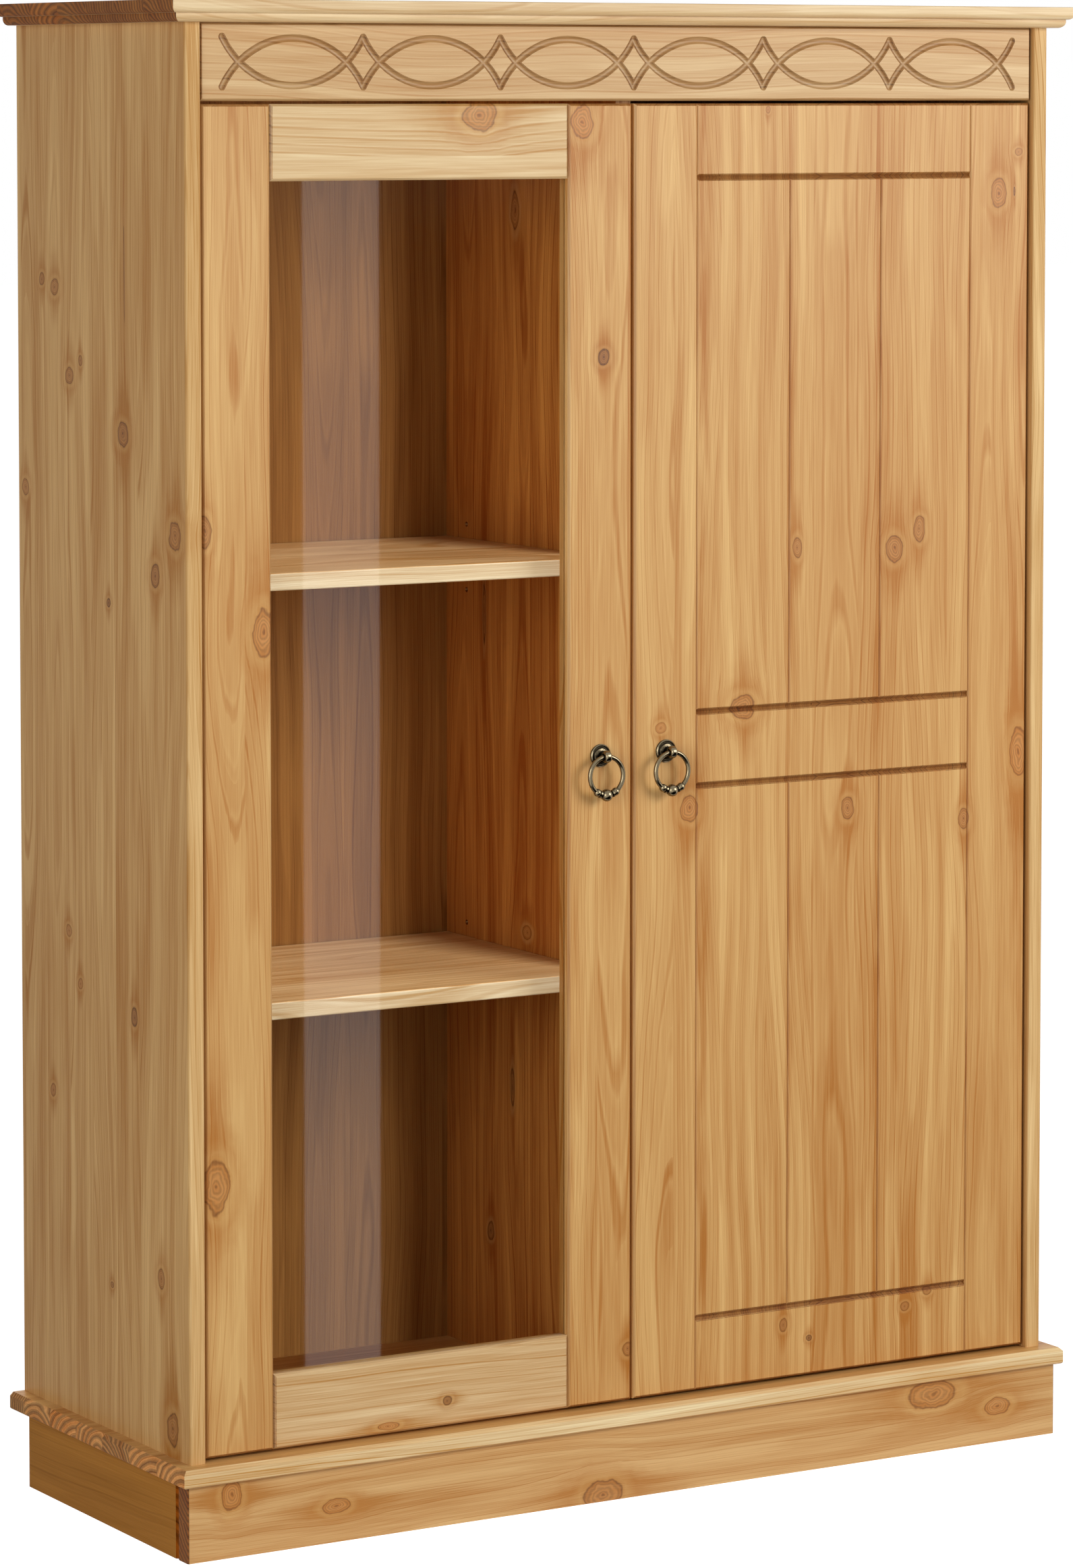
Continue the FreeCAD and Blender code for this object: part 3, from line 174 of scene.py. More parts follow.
trunk = add(pine_tree, "ShaderNodeMath", {0: place["Z"], 1: slope, 2: trunk}, operation="MULTIPLY_ADD")
waver = add(pine_tree, "ShaderNodeVectorMath", {0: given["Point"], 1: WAVERS}, operation="MULTIPLY")
waver = add(pine_tree, "ShaderNodeTexNoise", {"Vector": waver, "Scale": 1.0, "Detail": 2.0})
trunk = add(pine_tree, "ShaderNodeMath", {0: waver, 1: WAVER_REACH, 2: trunk}, operation="MULTIPLY_ADD")
spacing = add(pine_tree, "ShaderNodeMath", {0: chance["Value"], 1: RING_MORE, 2: RING_LEAST},
              operation="MULTIPLY_ADD")
spacing = add(pine_tree, "ShaderNodeMath", {0: spacing, 1: given["Rings"]}, operation="MULTIPLY")
ring = add(pine_tree, "ShaderNodeMath", {0: trunk, 1: spacing}, operation="DIVIDE")
year = add(pine_tree, "ShaderNodeMath", {0: ring}, operation="FLOOR")
year = add(pine_tree, "ShaderNodeMath", {0: own, 1: YEAR_STEP, 2: year}, operation="MULTIPLY_ADD")
year = add(pine_tree, "ShaderNodeTexWhiteNoise", {"W": year}, noise_dimensions="1D").outputs["Value"]
year = add(pine_tree, "ShaderNodeMath", {0: year, 1: YEAR_SPREAD, 2: FAINTEST_YEAR},
           operation="MULTIPLY_ADD")
late = add(pine_tree, "ShaderNodeMath", {0: ring}, operation="FRACT")
late = add(pine_tree, "ShaderNodeValToRGB", {0: late}, stops=[
    (at, (dark, dark, dark, 1)) for at, dark in RING_SHADES])
late = add(pine_tree, "ShaderNodeMath", {0: late, 1: year}, operation="MULTIPLY")
fine = add(pine_tree, "ShaderNodeVectorMath", {0: given["Point"], 1: FINE_FIBRES}, operation="MULTIPLY")
fine = add(pine_tree, "ShaderNodeTexNoise", {"Vector": fine, "Scale": 1.0, "Detail": 1.0})
fibre = add(pine_tree, "ShaderNodeVectorMath", {0: given["Point"], 1: COARSE_FIBRES}, operation="MULTIPLY")
fibre = add(pine_tree, "ShaderNodeTexNoise", {"Vector": fibre, "Scale": 1.0, "Detail": 2.0, "Roughness": 0.6})
tone = add(pine_tree, "ShaderNodeVectorMath", {0: given["Point"], 1: TONES}, operation="MULTIPLY")
tone_start = add(pine_tree, "ShaderNodeCombineXYZ", {0: 0.0, 1: 0.0, 2: own})
tone = add(pine_tree, "ShaderNodeVectorMath", {0: tone, 1: tone_start}, operation="ADD")
tone = add(pine_tree, "ShaderNodeTexNoise", {"Vector": tone, "Scale": 1.0, "Detail": 2.0})
flame = add(pine_tree, "ShaderNodeMath", {0: trunk, 1: FLAME_WIDTH}, operation="DIVIDE")
flame_along = add(pine_tree, "ShaderNodeMath", {0: place["Z"], 1: FLAME_LENGTH}, operation="DIVIDE")
flame = add(pine_tree, "ShaderNodeCombineXYZ", {0: flame, 1: own, 2: flame_along})
flame = add(pine_tree, "ShaderNodeTexNoise", {"Vector": flame, "Scale": 1.0, "Detail": 1.5})
flame = add(pine_tree, "ShaderNodeValToRGB", {0: flame}, stops=[
    (at, (deep, deep, deep, 1)) for at, deep in FLAME_SHADES])
smear = add(pine_tree, "ShaderNodeMapRange",
            {0: given["Smear"], 1: SMEAR_FULL, 2: SMEAR_GONE, 3: 1.0, 4: 0.0},
            interpolation_type="SMOOTHSTEP")

# Each part of the figure has a share of the depth, from the pale colour to the deep one.
FIGURE_SHARES = ((late, 0.52), (year, 0.20), (fine, 0.70), (fibre, 0.55), (tone, 0.60),
                 (chance["Value"], 0.15), (flame, 0.45), (smear, 0.45))
SHARES_MIDDLE = 1.48
depth = -SHARES_MIDDLE
for part, share in FIGURE_SHARES:
    depth = add(pine_tree, "ShaderNodeMath", {0: part, 1: share, 2: depth}, operation="MULTIPLY_ADD")
depth = add(pine_tree, "ShaderNodeMath", {0: depth, 1: given["Figure"], 2: 0.5}, operation="MULTIPLY_ADD")
depth = add(pine_tree, "ShaderNodeMath", {0: depth, 1: given["Deeper"]}, operation="ADD")
wood = add(pine_tree, "ShaderNodeMix", {0: depth, 6: given["Pale"], 7: given["Deep"]}, data_type="RGBA")
facing = add(pine_tree, "ShaderNodeVectorMath", {0: given["Facing"]}, operation="ABSOLUTE")
facing = add(pine_tree, "ShaderNodeSeparateXYZ", {0: facing}).outputs
edge = add(pine_tree, "ShaderNodeMapRange", {0: facing["X"], 1: EDGE_FROM, 2: EDGE_FULL})
paler = add(pine_tree, "ShaderNodeVectorMath", {0: wood.outputs[2], 1: given["Edge"]}, operation="MULTIPLY")
wood = add(pine_tree, "ShaderNodeMix", {0: edge, 6: wood.outputs[2], 7: paler}, data_type="RGBA")
end = add(pine_tree, "ShaderNodeMapRange", {0: facing["Z"], 1: END_FROM, 2: END_FULL})
uncarved = add(pine_tree, "ShaderNodeMath", {0: given["Groove_Shade"], 1: CARVED_LEAST}, operation="LESS_THAN")
end = add(pine_tree, "ShaderNodeMath", {0: end, 1: uncarved}, operation="MULTIPLY")
end_shade = add(pine_tree, "ShaderNodeMath", {0: ring, 1: END_TURN}, operation="MULTIPLY")
end_shade = add(pine_tree, "ShaderNodeMath", {0: end_shade}, operation="SINE")
end_shade = add(pine_tree, "ShaderNodeMath", {0: end_shade, 1: END_CONTRAST, 2: 1.0},
                operation="MULTIPLY_ADD")
end_shade = add(pine_tree, "ShaderNodeMath", {0: late, 1: END_LATE, 2: end_shade}, operation="MULTIPLY_ADD")
end_strip = add(pine_tree, "ShaderNodeMapRange", {0: chance["Value"], 3: END_LEAST, 4: END_MOST})
end_shade = add(pine_tree, "ShaderNodeMath", {0: end_shade, 1: end_strip}, operation="MULTIPLY")
end_wood = add(pine_tree, "ShaderNodeVectorMath", {0: wood.outputs[2], 1: given["End"]}, operation="MULTIPLY")
end_wood = add(pine_tree, "ShaderNodeVectorMath", {0: end_wood, "Scale": end_shade}, operation="SCALE")
wood = add(pine_tree, "ShaderNodeMix", {0: end, 6: wood.outputs[2], 7: end_wood}, data_type="RGBA")

# Sound knots are orange, loose ones dark brown, both with a darker rim and a paler, then deeper, halo.
reach = add(pine_tree, "ShaderNodeMath", {0: given["Near"], 1: KNOT_REACH}, operation="DIVIDE")
orange = add(pine_tree, "ShaderNodeValToRGB", {0: reach}, stops=(
    (0.0, linear("#7e451c", 0.85)), (0.04, linear("#b9783a", 0.8)), (0.15, linear("#c68a4c", 0.75)),
    (0.26, linear("#bb7a38", 0.75)), (0.305, linear("#8e5220", 0.7)), (0.34, linear("#d09a54", 0.5)),
    (0.40, linear("#d8a864", 0.4)), (0.55, linear("#bc7a30", 0.32)), (0.85, linear("#bc7a30", 0.0)))).outputs
dark = add(pine_tree, "ShaderNodeValToRGB", {0: reach}, stops=(
    (0.0, linear("#2e180a", 0.95)), (0.05, linear("#7e4e28", 0.9)), (0.19, linear("#94602f", 0.88)),
    (0.26, linear("#6e401c", 0.9)), (0.305, linear("#40220c", 0.9)), (0.34, linear("#a8743c", 0.5)),
    (0.40, linear("#cfa062", 0.3)), (0.55, linear("#a8682a", 0.3)), (0.85, linear("#a8682a", 0.0)))).outputs
knot = add(pine_tree, "ShaderNodeMix", {0: given["Tint"], 6: orange["Color"], 7: dark["Color"]},
           data_type="RGBA")
cover = add(pine_tree, "ShaderNodeMix", {0: given["Tint"], 2: orange["Alpha"], 3: dark["Alpha"]})
worn = add(pine_tree, "ShaderNodeMath", {0: fine, 1: WORN_FIBRE, 2: WORN_LEAST}, operation="MULTIPLY_ADD")
cover = add(pine_tree, "ShaderNodeMath", {0: cover, 1: worn}, operation="MULTIPLY")
turns = add(pine_tree, "ShaderNodeMath", {0: waver, 1: KNOT_UNROUND}, operation="MULTIPLY")
turns = add(pine_tree, "ShaderNodeMath", {0: given["Near"], 1: KNOT_TURNS, 2: turns},
            operation="MULTIPLY_ADD")
turns = add(pine_tree, "ShaderNodeMath", {0: turns}, operation="SINE")
ringed = add(pine_tree, "ShaderNodeMapRange",
             {0: given["Near"], 1: KNOT_RIM_IN, 2: KNOT_RIM_OUT, 3: KNOT_CONTRAST, 4: 0.0})
turns = add(pine_tree, "ShaderNodeMath", {0: turns, 1: ringed, 2: 1.0}, operation="MULTIPLY_ADD")
knot = add(pine_tree, "ShaderNodeVectorMath", {0: knot.outputs[2], "Scale": turns}, operation="SCALE")
wood = add(pine_tree, "ShaderNodeMix", {0: cover, 6: wood.outputs[2], 7: knot}, data_type="RGBA")
# What is carved is darkened here with painted shade, in stripes that follow the rings.
shaded_cut = add(pine_tree, "ShaderNodeVectorMath", {0: wood.outputs[2], 1: CARVED_SHADE_TINT}, operation="MULTIPLY")
torn = add(pine_tree, "ShaderNodeMath", {0: late, 1: CARVED_LATE, 2: CARVED_EARLY}, operation="MULTIPLY_ADD")
shaded_cut = add(pine_tree, "ShaderNodeVectorMath", {0: shaded_cut, "Scale": torn}, operation="SCALE")
wood = add(pine_tree, "ShaderNodeMix", {0: given["Groove_Shade"], 6: wood.outputs[2], 7: shaded_cut}, data_type="RGBA")
dull = add(pine_tree, "ShaderNodeMath", {0: fibre, 1: DULL_FIBRE, 2: DULL_LEAST}, operation="MULTIPLY_ADD")
dull = add(pine_tree, "ShaderNodeMath", {0: end, 1: DULL_END, 2: dull}, operation="MULTIPLY_ADD")
height = add(pine_tree, "ShaderNodeMath", {0: late, 1: LATE_RELIEF, 2: fine}, operation="MULTIPLY_ADD")
pine_tree.links.new(wood.outputs[2], result.inputs["Color"])
pine_tree.links.new(dull.outputs[0], result.inputs["Roughness"])
pine_tree.links.new(height.outputs[0], result.inputs["Height"])

# Knots have an uneven outline, over about 14 mm. What is cut 0.3 to 1 mm deep begins to take painted shade
# as carved, down to 7 mm, where it faces outwards. The fibres stand 0.3 mm proud, which is coarser than real
# ones.
UNEVEN_PER_METRE = 70.0
UNEVEN_REACH = (0.65, 0.0, 0.65)
CARVED_FROM, CARVED_FULL, CARVED_DEEPEST = 0.0003, 0.0010, 0.007
CARVED_FACING = -0.1
PATCH_FROM, PATCH_FULL = 0.30, 0.65
TORN_LEAST, TORN_MORE = 0.35, 0.92
FAR_FROM_KNOTS = 9.0
FIBRE_RELIEF = 0.0003


def waxed_board(nodes, grain, corner, seed, strip=0.3, joint=0.0, pale="#e6bb78", deep="#b4722a",
                edge=(1.0, 1.0, 1.0), end=(0.44, 0.26, 0.13), gloss=0.34, rings=1.0, figure=1.0,
                knots=(), streaks=(), groove_shade=0.0, wood="waxed_pine"):
    """Wood for boards whose grain runs along the last of three axes, the first being across.

    Corner is a point of the board's face, strip the width of the strips it is glued from and joint
    the place of one glue line. Edge and end tint the long edges and the cut ends, rings scales the
    growth rings' spacing, and figure is the grain's contrast. Knots are (across, along, half width,
    half length, darkness) and streaks (across, half width, depth) in mm. Groove shade is painted shade
    that darkens what is carved, and more so where the cutter went across the grain.
    """
    finish = bpy.data.materials.new(wood + "_" + nodes[0])
    finish.use_nodes = True
    tree = finish.node_tree
    axes = ["xyz".index(axis) for axis in grain]
    here = add(tree, "ShaderNodeTexCoord").outputs
    facing = add(tree, "ShaderNodeSeparateXYZ", {0: here["Normal"]}).outputs
    facing = add(tree, "ShaderNodeCombineXYZ", {i: facing[axis] for i, axis in enumerate(axes)})
    place = add(tree, "ShaderNodeVectorMath", {0: here["Object"], 1: corner}, operation="SUBTRACT")
    place = add(tree, "ShaderNodeSeparateXYZ", {0: place}).outputs
    point = add(tree, "ShaderNodeCombineXYZ", {i: place[axis] for i, axis in enumerate(axes)})
    flow = {"Across": place[axes[0]], "Near": FAR_FROM_KNOTS, "Tint": 0.0, "Smear": FAR_FROM_KNOTS}
    if knots:
        uneven = add(tree, "ShaderNodeTexNoise", {"Vector": point, "Scale": UNEVEN_PER_METRE, "Detail": 2.0})
        uneven = add(tree, "ShaderNodeVectorMath", {0: uneven.outputs["Color"], 1: (0.5,) * 3},
                     operation="SUBTRACT")
        uneven = add(tree, "ShaderNodeVectorMath", {0: uneven, 1: UNEVEN_REACH}, operation="MULTIPLY")
    for across, along, wide, long, darkness in sorted(knots, key=lambda knot: knot[2]):
        centre = (across / 1000 - corner[axes[0]], 0.0, along / 1000 - corner[axes[2]])
        size = (1000 / wide, 0.0, 1000 / long)
        shape = {"Along": place[axes[2]], "Uneven": uneven, "Centre": centre, "Size": size, "Dark": darkness}
        knot = add(tree, "ShaderNodeGroup", node_tree=knot_tree)
        for socket, value in {**flow, **shape}.items():
            link(tree, value, knot.inputs[socket])
        flow = {name: knot.outputs[name] for name in flow}
    deeper = 0.0
    if streaks:
        patch = add(tree, "ShaderNodeVectorMath", {0: point, 1: STREAK_PATCHES}, operation="MULTIPLY")
        patch = add(tree, "ShaderNodeTexNoise", {"Vector": patch, "Scale": 1.0, "Detail": 3.0})
        patch = add(tree, "ShaderNodeMapRange", {0: patch, 1: PATCH_FROM, 2: PATCH_FULL})
    for across, wide, dark in streaks:
        off = add(tree, "ShaderNodeMath", {0: place[axes[0]], 1: across / 1000 - corner[axes[0]]},
                  operation="SUBTRACT")
        off = add(tree, "ShaderNodeMath", {0: off}, operation="ABSOLUTE")
        off = add(tree, "ShaderNodeMapRange", {0: off, 2: wide / 1000, 3: dark, 4: 0.0},
                  interpolation_type="SMOOTHSTEP")
        deeper = add(tree, "ShaderNodeMath", {0: off, 1: patch, 2: deeper}, operation="MULTIPLY_ADD")
    # Painted shade for what is carved: by depth below the face where it faces outwards, more where the cutter
    # crossed the grain.
    carved = 0.0
    if groove_shade:
        carved = add(tree, "ShaderNodeMapRange",
                     {0: place[axes[1]], 1: CARVED_FROM, 2: CARVED_FULL, 4: groove_shade})
        within = add(tree, "ShaderNodeMath", {0: place[axes[1]], 1: CARVED_DEEPEST}, operation="LESS_THAN")
        tilted = add(tree, "ShaderNodeSeparateXYZ", {0: here["Normal"]}).outputs[axes[1]]
        tilted = add(tree, "ShaderNodeMath", {0: tilted, 1: CARVED_FACING}, operation="LESS_THAN")
        within = add(tree, "ShaderNodeMath", {0: within, 1: tilted}, operation="MULTIPLY")
        carved = add(tree, "ShaderNodeMath", {0: carved, 1: within}, operation="MULTIPLY")
        torn = add(tree, "ShaderNodeSeparateXYZ", {0: facing}).outputs["Z"]
        torn = add(tree, "ShaderNodeMath", {0: torn}, operation="ABSOLUTE")
        torn = add(tree, "ShaderNodeMath", {0: torn, 1: TORN_MORE, 2: TORN_LEAST}, operation="MULTIPLY_ADD")
        carved = add(tree, "ShaderNodeMath", {0: carved, 1: torn}, operation="MULTIPLY")
    board = {
        "Point": point, "Facing": facing, "Strip": strip, "Joint": joint, "Seed": seed, "Pale": linear(pale),
        "Deep": linear(deep), "Edge": (*edge, 1.0), "End": (*end, 1.0), "Rings": rings, "Figure": figure,
        "Deeper": deeper, "Groove_Shade": carved,
    }
    pine = add(tree, "ShaderNodeGroup", node_tree=pine_tree)
    for socket, value in {**flow, **board}.items():
        link(tree, value, pine.inputs[socket])
    bump = add(tree, "ShaderNodeBump",
               {"Strength": 0.25, "Distance": FIBRE_RELIEF, "Height": pine.outputs["Height"]})
    surface = tree.nodes["Principled BSDF"]
    surface.inputs["Specular IOR Level"].default_value = gloss
    tree.links.new(pine.outputs["Color"], surface.inputs["Base Color"])
    tree.links.new(pine.outputs["Roughness"], surface.inputs["Roughness"])
    tree.links.new(bump.outputs[0], surface.inputs["Normal"])
    for node in nodes:
        frame["nodes"][node].data.materials.clear()
        frame["nodes"][node].data.materials.append(finish)


PLINTH_KNOTS = (
    (57.6, -434.7, 14.8, 11.0, 0.10), (33.7, -327.4, 7.5, 15.4, 0.10), (6.2, -42.0, 15.4, 22.3, 0.35),
    (56.3, 333.6, 14.6, 28.8, 0.15), (35.3, 410.4, 9.4, 16.2, 0.05),
)
waxed_board(["plinth_front"], "zyx", (-0.479, -0.1745, 0.0), 1.0, strip=0.036, pale="#e2b97e",
            deep="#b97e3c", figure=0.9, knots=PLINTH_KNOTS)
# The side boards are coloured darker and deeper than the front as painted shade under the base board, with
# hardly any sheen.
for node, outer_face, seed in (("plinth_left", -0.479, 2.0), ("plinth_right", 0.479, 3.0)):
    waxed_board([node], "zxy", (outer_face, -0.1565, 0.0), seed, strip=0.09, pale="#c88a3c", deep="#96601e",
                gloss=0.02, figure=0.6)
waxed_board(["plinth_back"], "zyx", (-0.463, 0.1525, 0.0), 4.0, strip=0.09)
waxed_board(["plinth_corner_blocks"], "xyz", (0.0, 0.0, 0.0), 5.0, strip=0.05)

# Base board: a pine panel glued up from strips that run from side to side, so its short ends show end
# grain. Its arrises are chamfered in front and at the ends, and screws through the plinth's corner
# blocks hold it.
waxed_board(["base_board"], "yzx", (-0.4855, -0.1805, 0.086), 6.0, strip=0.055, edge=(1.25, 1.65, 2.6),
            end=(0.80, 0.67, 0.62))

# Side panels: pine glued up from strips, the grain upright, rebated behind and dowelled to the base
# board and the top board. Small knots sit in the left one, with one thin streak of resin.
LEFT_SIDE_KNOTS = (
    (129.2, 1144.8, 5.7, 6.3, 0.6), (102.8, 1138.0, 9.2, 8.1, 0.5), (71.9, 1057.3, 8.5, 8.7, 0.5),
    (49.2, 1072.0, 4.2, 5.0, 0.6), (-37.0, 1008.2, 11.4, 12.0, 0.7), (166.4, 948.6, 7.3, 8.3, 0.4),
    (-139.2, 922.5, 12.2, 13.9, 0.5), (-100.5, 884.6, 8.7, 11.0, 0.7), (-6.7, 852.8, 4.1, 4.3, 1.0),
    (79.4, 539.9, 5.7, 5.7, 0.4), (55.9, 493.2, 5.6, 5.1, 0.4), (-54.8, 477.6, 6.1, 9.3, 0.9),
    (114.2, 384.5, 5.8, 6.1, 0.5), (-6.9, 222.1, 3.5, 3.1, 0.7), (-106.6, 245.5, 6.7, 9.7, 0.5),
    (-128.1, 112.1, 12.0, 16.1, 0.6), (-41.2, 1152.7, 0.9, 47.7, 1.0),
)
RIGHT_SIDE_KNOTS = (
    (60.0, 1190.0, 9.0, 10.5, 0.5), (-90.0, 960.0, 11.0, 13.0, 0.4), (120.0, 720.0, 7.0, 9.0, 0.7),
    (-20.0, 430.0, 12.0, 14.0, 0.3), (95.0, 240.0, 6.0, 7.0, 0.8),
)
for node, outer_face, seed, side_knots in (("left_side_panel", -0.470, 7.0, LEFT_SIDE_KNOTS),
                                           ("right_side_panel", 0.470, 8.0, RIGHT_SIDE_KNOTS)):
    waxed_board([node], "yxz", (outer_face, -0.1625, 0.086), seed, strip=0.048, edge=(1.15, 1.28, 1.5),
                pale="#e4ba7c", deep="#ac7230", gloss=0.1, figure=0.9, knots=side_knots)

# Centre partition: a pine panel glued up from upright strips, dowelled to the base board and the top
# board behind the meeting of the two doors. Its faces are coloured redder and darker than the front as
# painted shade of the inside, its front edge paler.
PARTITION_KNOTS = (
    (44.4, 1204.6, 7.6, 19.4, 0.5), (103.2, 812.5, 3.2, 29.7, 0.8), (21.5, 509.2, 8.9, 7.9, 0.4),
    (49.2, 354.7, 4.0, 19.8, 0.9), (91.1, 206.4, 6.5, 9.3, 0.8),
)
waxed_board(["centre_partition"], "yxz", (-0.008, -0.1395, 0.086), 9.0, strip=0.052, pale="#d7954a",
            deep="#98501b", gloss=0.12, edge=(1.15, 1.45, 2.6), knots=PARTITION_KNOTS)

# Back panels: thin sheets veneered with upright grain, nailed into the rebates of the sides and on to
# the partition. They are brown and matt, with a quieter figure than the solid boards.
waxed_board(["left_back_panel", "right_back_panel"], "xyz", (-0.454, 0.1765, 0.086), 10.0, strip=0.11,
            pale="#c08a4a", deep="#7c4c1e", gloss=0.1, figure=0.7, wood="brown_veneer")

# Shelves: pine panels glued up from strips that run from side to side, two in each half. They lie loose
# on steel pins, and their front edges are planed and eased.
waxed_board(["left_lower_shelf", "left_upper_shelf", "right_lower_shelf", "right_upper_shelf"], "yzx",
            (-0.454, -0.1225, 0.491), 11.0, strip=0.06, pale="#ecc894", deep="#bb874c",
            edge=(0.76, 0.90, 1.18))

# Frieze: a pine board between the sides, over the doors, held by glue blocks under the top board. A row
# of crossing arcs is milled into its face with a round cutter, and the cuts are darkened with painted shade.
waxed_board(["frieze_board"], "zyx", (-0.453, -0.1585, 1.310), 12.0, strip=0.2, pale="#e2c28e",
            deep="#b8864a", rings=1.6, figure=0.75, groove_shade=1.15)
waxed_board(["frieze_glue_blocks"], "zyx", (-0.4, -0.13, 1.33), 13.0, strip=0.05)

# Top board: a pine panel glued up from strips, dowelled on to the sides and the partition. Its front and
# ends are moulded, and the ends show the strips' end grain, dark with wax.
waxed_board(["top_board"], "yzx", (-0.490, -0.1795, 1.400), 14.0, strip=0.058, pale="#ecd2a4", deep="#c2945a",
            end=(0.38, 0.19, 0.07))

# Dowels: turned rods of raw beech, glued across the joints of the carcass and of the glazed door, and
# hidden once it is put together. Beech is greyer and less yellow than the pine.
waxed_board(["carcass_dowels", "left_door_dowels"], "xyz", (0.0, 0.0, 0.0), 15.0, strip=0.02, pale="#dcb98c",
            deep="#b98d5c", wood="raw_beech")

# Glazed door: two stiles and two rails of pine, dowelled together, their edges milled and rebated. Pine
# beads behind hold the pane, and three concealed hinges carry the door.
HINGE_STILE_KNOTS = (
    (-449.6, 926.6, 6.8, 14.5, 0.4), (-390.9, 833.4, 12.4, 23.1, 0.1), (-440.3, 335.1, 13.7, 25.7, 0.15),
)
LOCK_STILE_KNOTS = (
    (-32.4, 1072.7, 6.6, 7.5, 0.9), (-4.7, 137.2, 6.5, 7.2, 0.4), (-56.0, 1289.8, 13.1, 16.2, 0.0),
)
TOP_RAIL_KNOTS = ((1296.8, -165.5, 14.8, 18.6, 0.15),)
BOTTOM_RAIL_KNOTS = ((112.5, -201.2, 4.4, 5.0, 0.8), (96.0, -264.0, 4.0, 12.0, 0.0))
# The milled edges and rebates of the frame are darkened with painted shade.
waxed_board(["left_door_hinge_stile"], "xyz", (-0.4515, -0.1585, 0.089), 16.0, strip=0.0415, groove_shade=0.8,
            pale="#e4ba78", deep="#b2702a", rings=0.55, figure=0.8, knots=HINGE_STILE_KNOTS)
waxed_board(["left_door_lock_stile"], "xyz", (-0.0705, -0.1585, 0.089), 17.0, strip=0.032, groove_shade=0.8,
            knots=LOCK_STILE_KNOTS)
waxed_board(["left_door_top_rail"], "zyx", (-0.3825, -0.1585, 1.2384), 18.0, strip=0.05, joint=0.0217,
            groove_shade=0.8, pale="#f0d8a8", deep="#c08e4c", rings=2.2, figure=0.85, knots=TOP_RAIL_KNOTS)
waxed_board(["left_door_bottom_rail"], "zyx", (-0.3825, -0.1585, 0.089), 19.0, strip=0.2, groove_shade=0.8,
            pale="#ecd0a0", deep="#bf8c4c", knots=BOTTOM_RAIL_KNOTS)
BEAD_CORNER = (-0.3825, -0.1475, 0.158)
waxed_board([f"left_door_{place}_glass_bead" for place in ("bottom", "top")], "zyx", BEAD_CORNER, 20.0)
waxed_board([f"left_door_{place}_glass_bead" for place in ("hinge", "lock")], "xyz", BEAD_CORNER, 21.0)

# Pane: clear float glass 4 mm thick, let in behind the frame and held by the beads. It shows the inside
# almost untinted and mirrors more the flatter it is looked at. Its outer faces alone mirror.
pane_finish = bpy.data.materials.new("clear_float_glass")
pane_finish.use_nodes = True
tree = pane_finish.node_tree
tree.nodes.remove(tree.nodes["Principled BSDF"])
clear = add(tree, "ShaderNodeBsdfTransparent", {"Color": linear("#fdfefd")})
shine = add(tree, "ShaderNodeBsdfGlossy", {"Roughness": 0.03})
share = add(tree, "ShaderNodeFresnel", {"IOR": 1.5})
inner = add(tree, "ShaderNodeNewGeometry").outputs["Backfacing"]
outer = add(tree, "ShaderNodeMath", {0: 1.0, 1: inner}, operation="SUBTRACT")
share = add(tree, "ShaderNodeMath", {0: share, 1: outer}, operation="MULTIPLY")
both = add(tree, "ShaderNodeMixShader", {0: share, 1: clear, 2: shine})
tree.links.new(both.outputs[0], tree.nodes["Material Output"].inputs["Surface"])
pane = frame["nodes"]["left_door_glass"]
pane.data.materials.clear()
pane.data.materials.append(pane_finish)

# Solid door: one panel glued up from narrow pine strips, grain upright, with V grooves milled along and
# across its face. Three concealed hinges carry it. The grooves are darkened with painted shade.
RIGHT_DOOR_KNOTS = (
    (149.2, 1301.3, 2.7, 3.5, 0.2), (416.1, 1220.8, 9.6, 15.0, 0.15), (434.6, 1221.9, 1.2, 4.6, 1.0),
    (439.1, 1260.4, 4.8, 3.9, 0.2), (296.0, 880.8, 11.0, 14.0, 0.3), (324.2, 898.5, 7.1, 12.7, 0.3),
    (183.4, 886.8, 5.4, 11.3, 0.3), (122.7, 737.6, 14.2, 12.5, 0.2), (30.8, 723.1, 6.4, 5.4, 0.0),
    (242.3, 633.4, 7.8, 11.4, 0.3), (378.2, 613.9, 6.4, 10.5, 0.3), (443.0, 675.8, 11.0, 25.8, 0.0),
    (62.4, 645.3, 10.2, 13.4, 0.1), (170.5, 140.0, 4.6, 6.5, 0.5), (200.0, 124.2, 3.5, 3.0, 1.0),
    (311.4, 142.4, 5.6, 4.6, 0.4), (337.6, 154.7, 5.6, 4.6, 0.4),
)
RIGHT_DOOR_STREAKS = (
    (77.0, 11.0, 0.6), (174.5, 6.0, 0.4), (276.0, 7.0, 0.45), (382.5, 4.0, 0.3), (440.0, 40.0, 0.2),
)
waxed_board(["right_door_panel"], "xyz", (0.0015, -0.1585, 0.089), 22.0, strip=0.052, joint=0.0435, groove_shade=0.9,
            figure=0.8, knots=RIGHT_DOOR_KNOTS, streaks=RIGHT_DOOR_STREAKS)

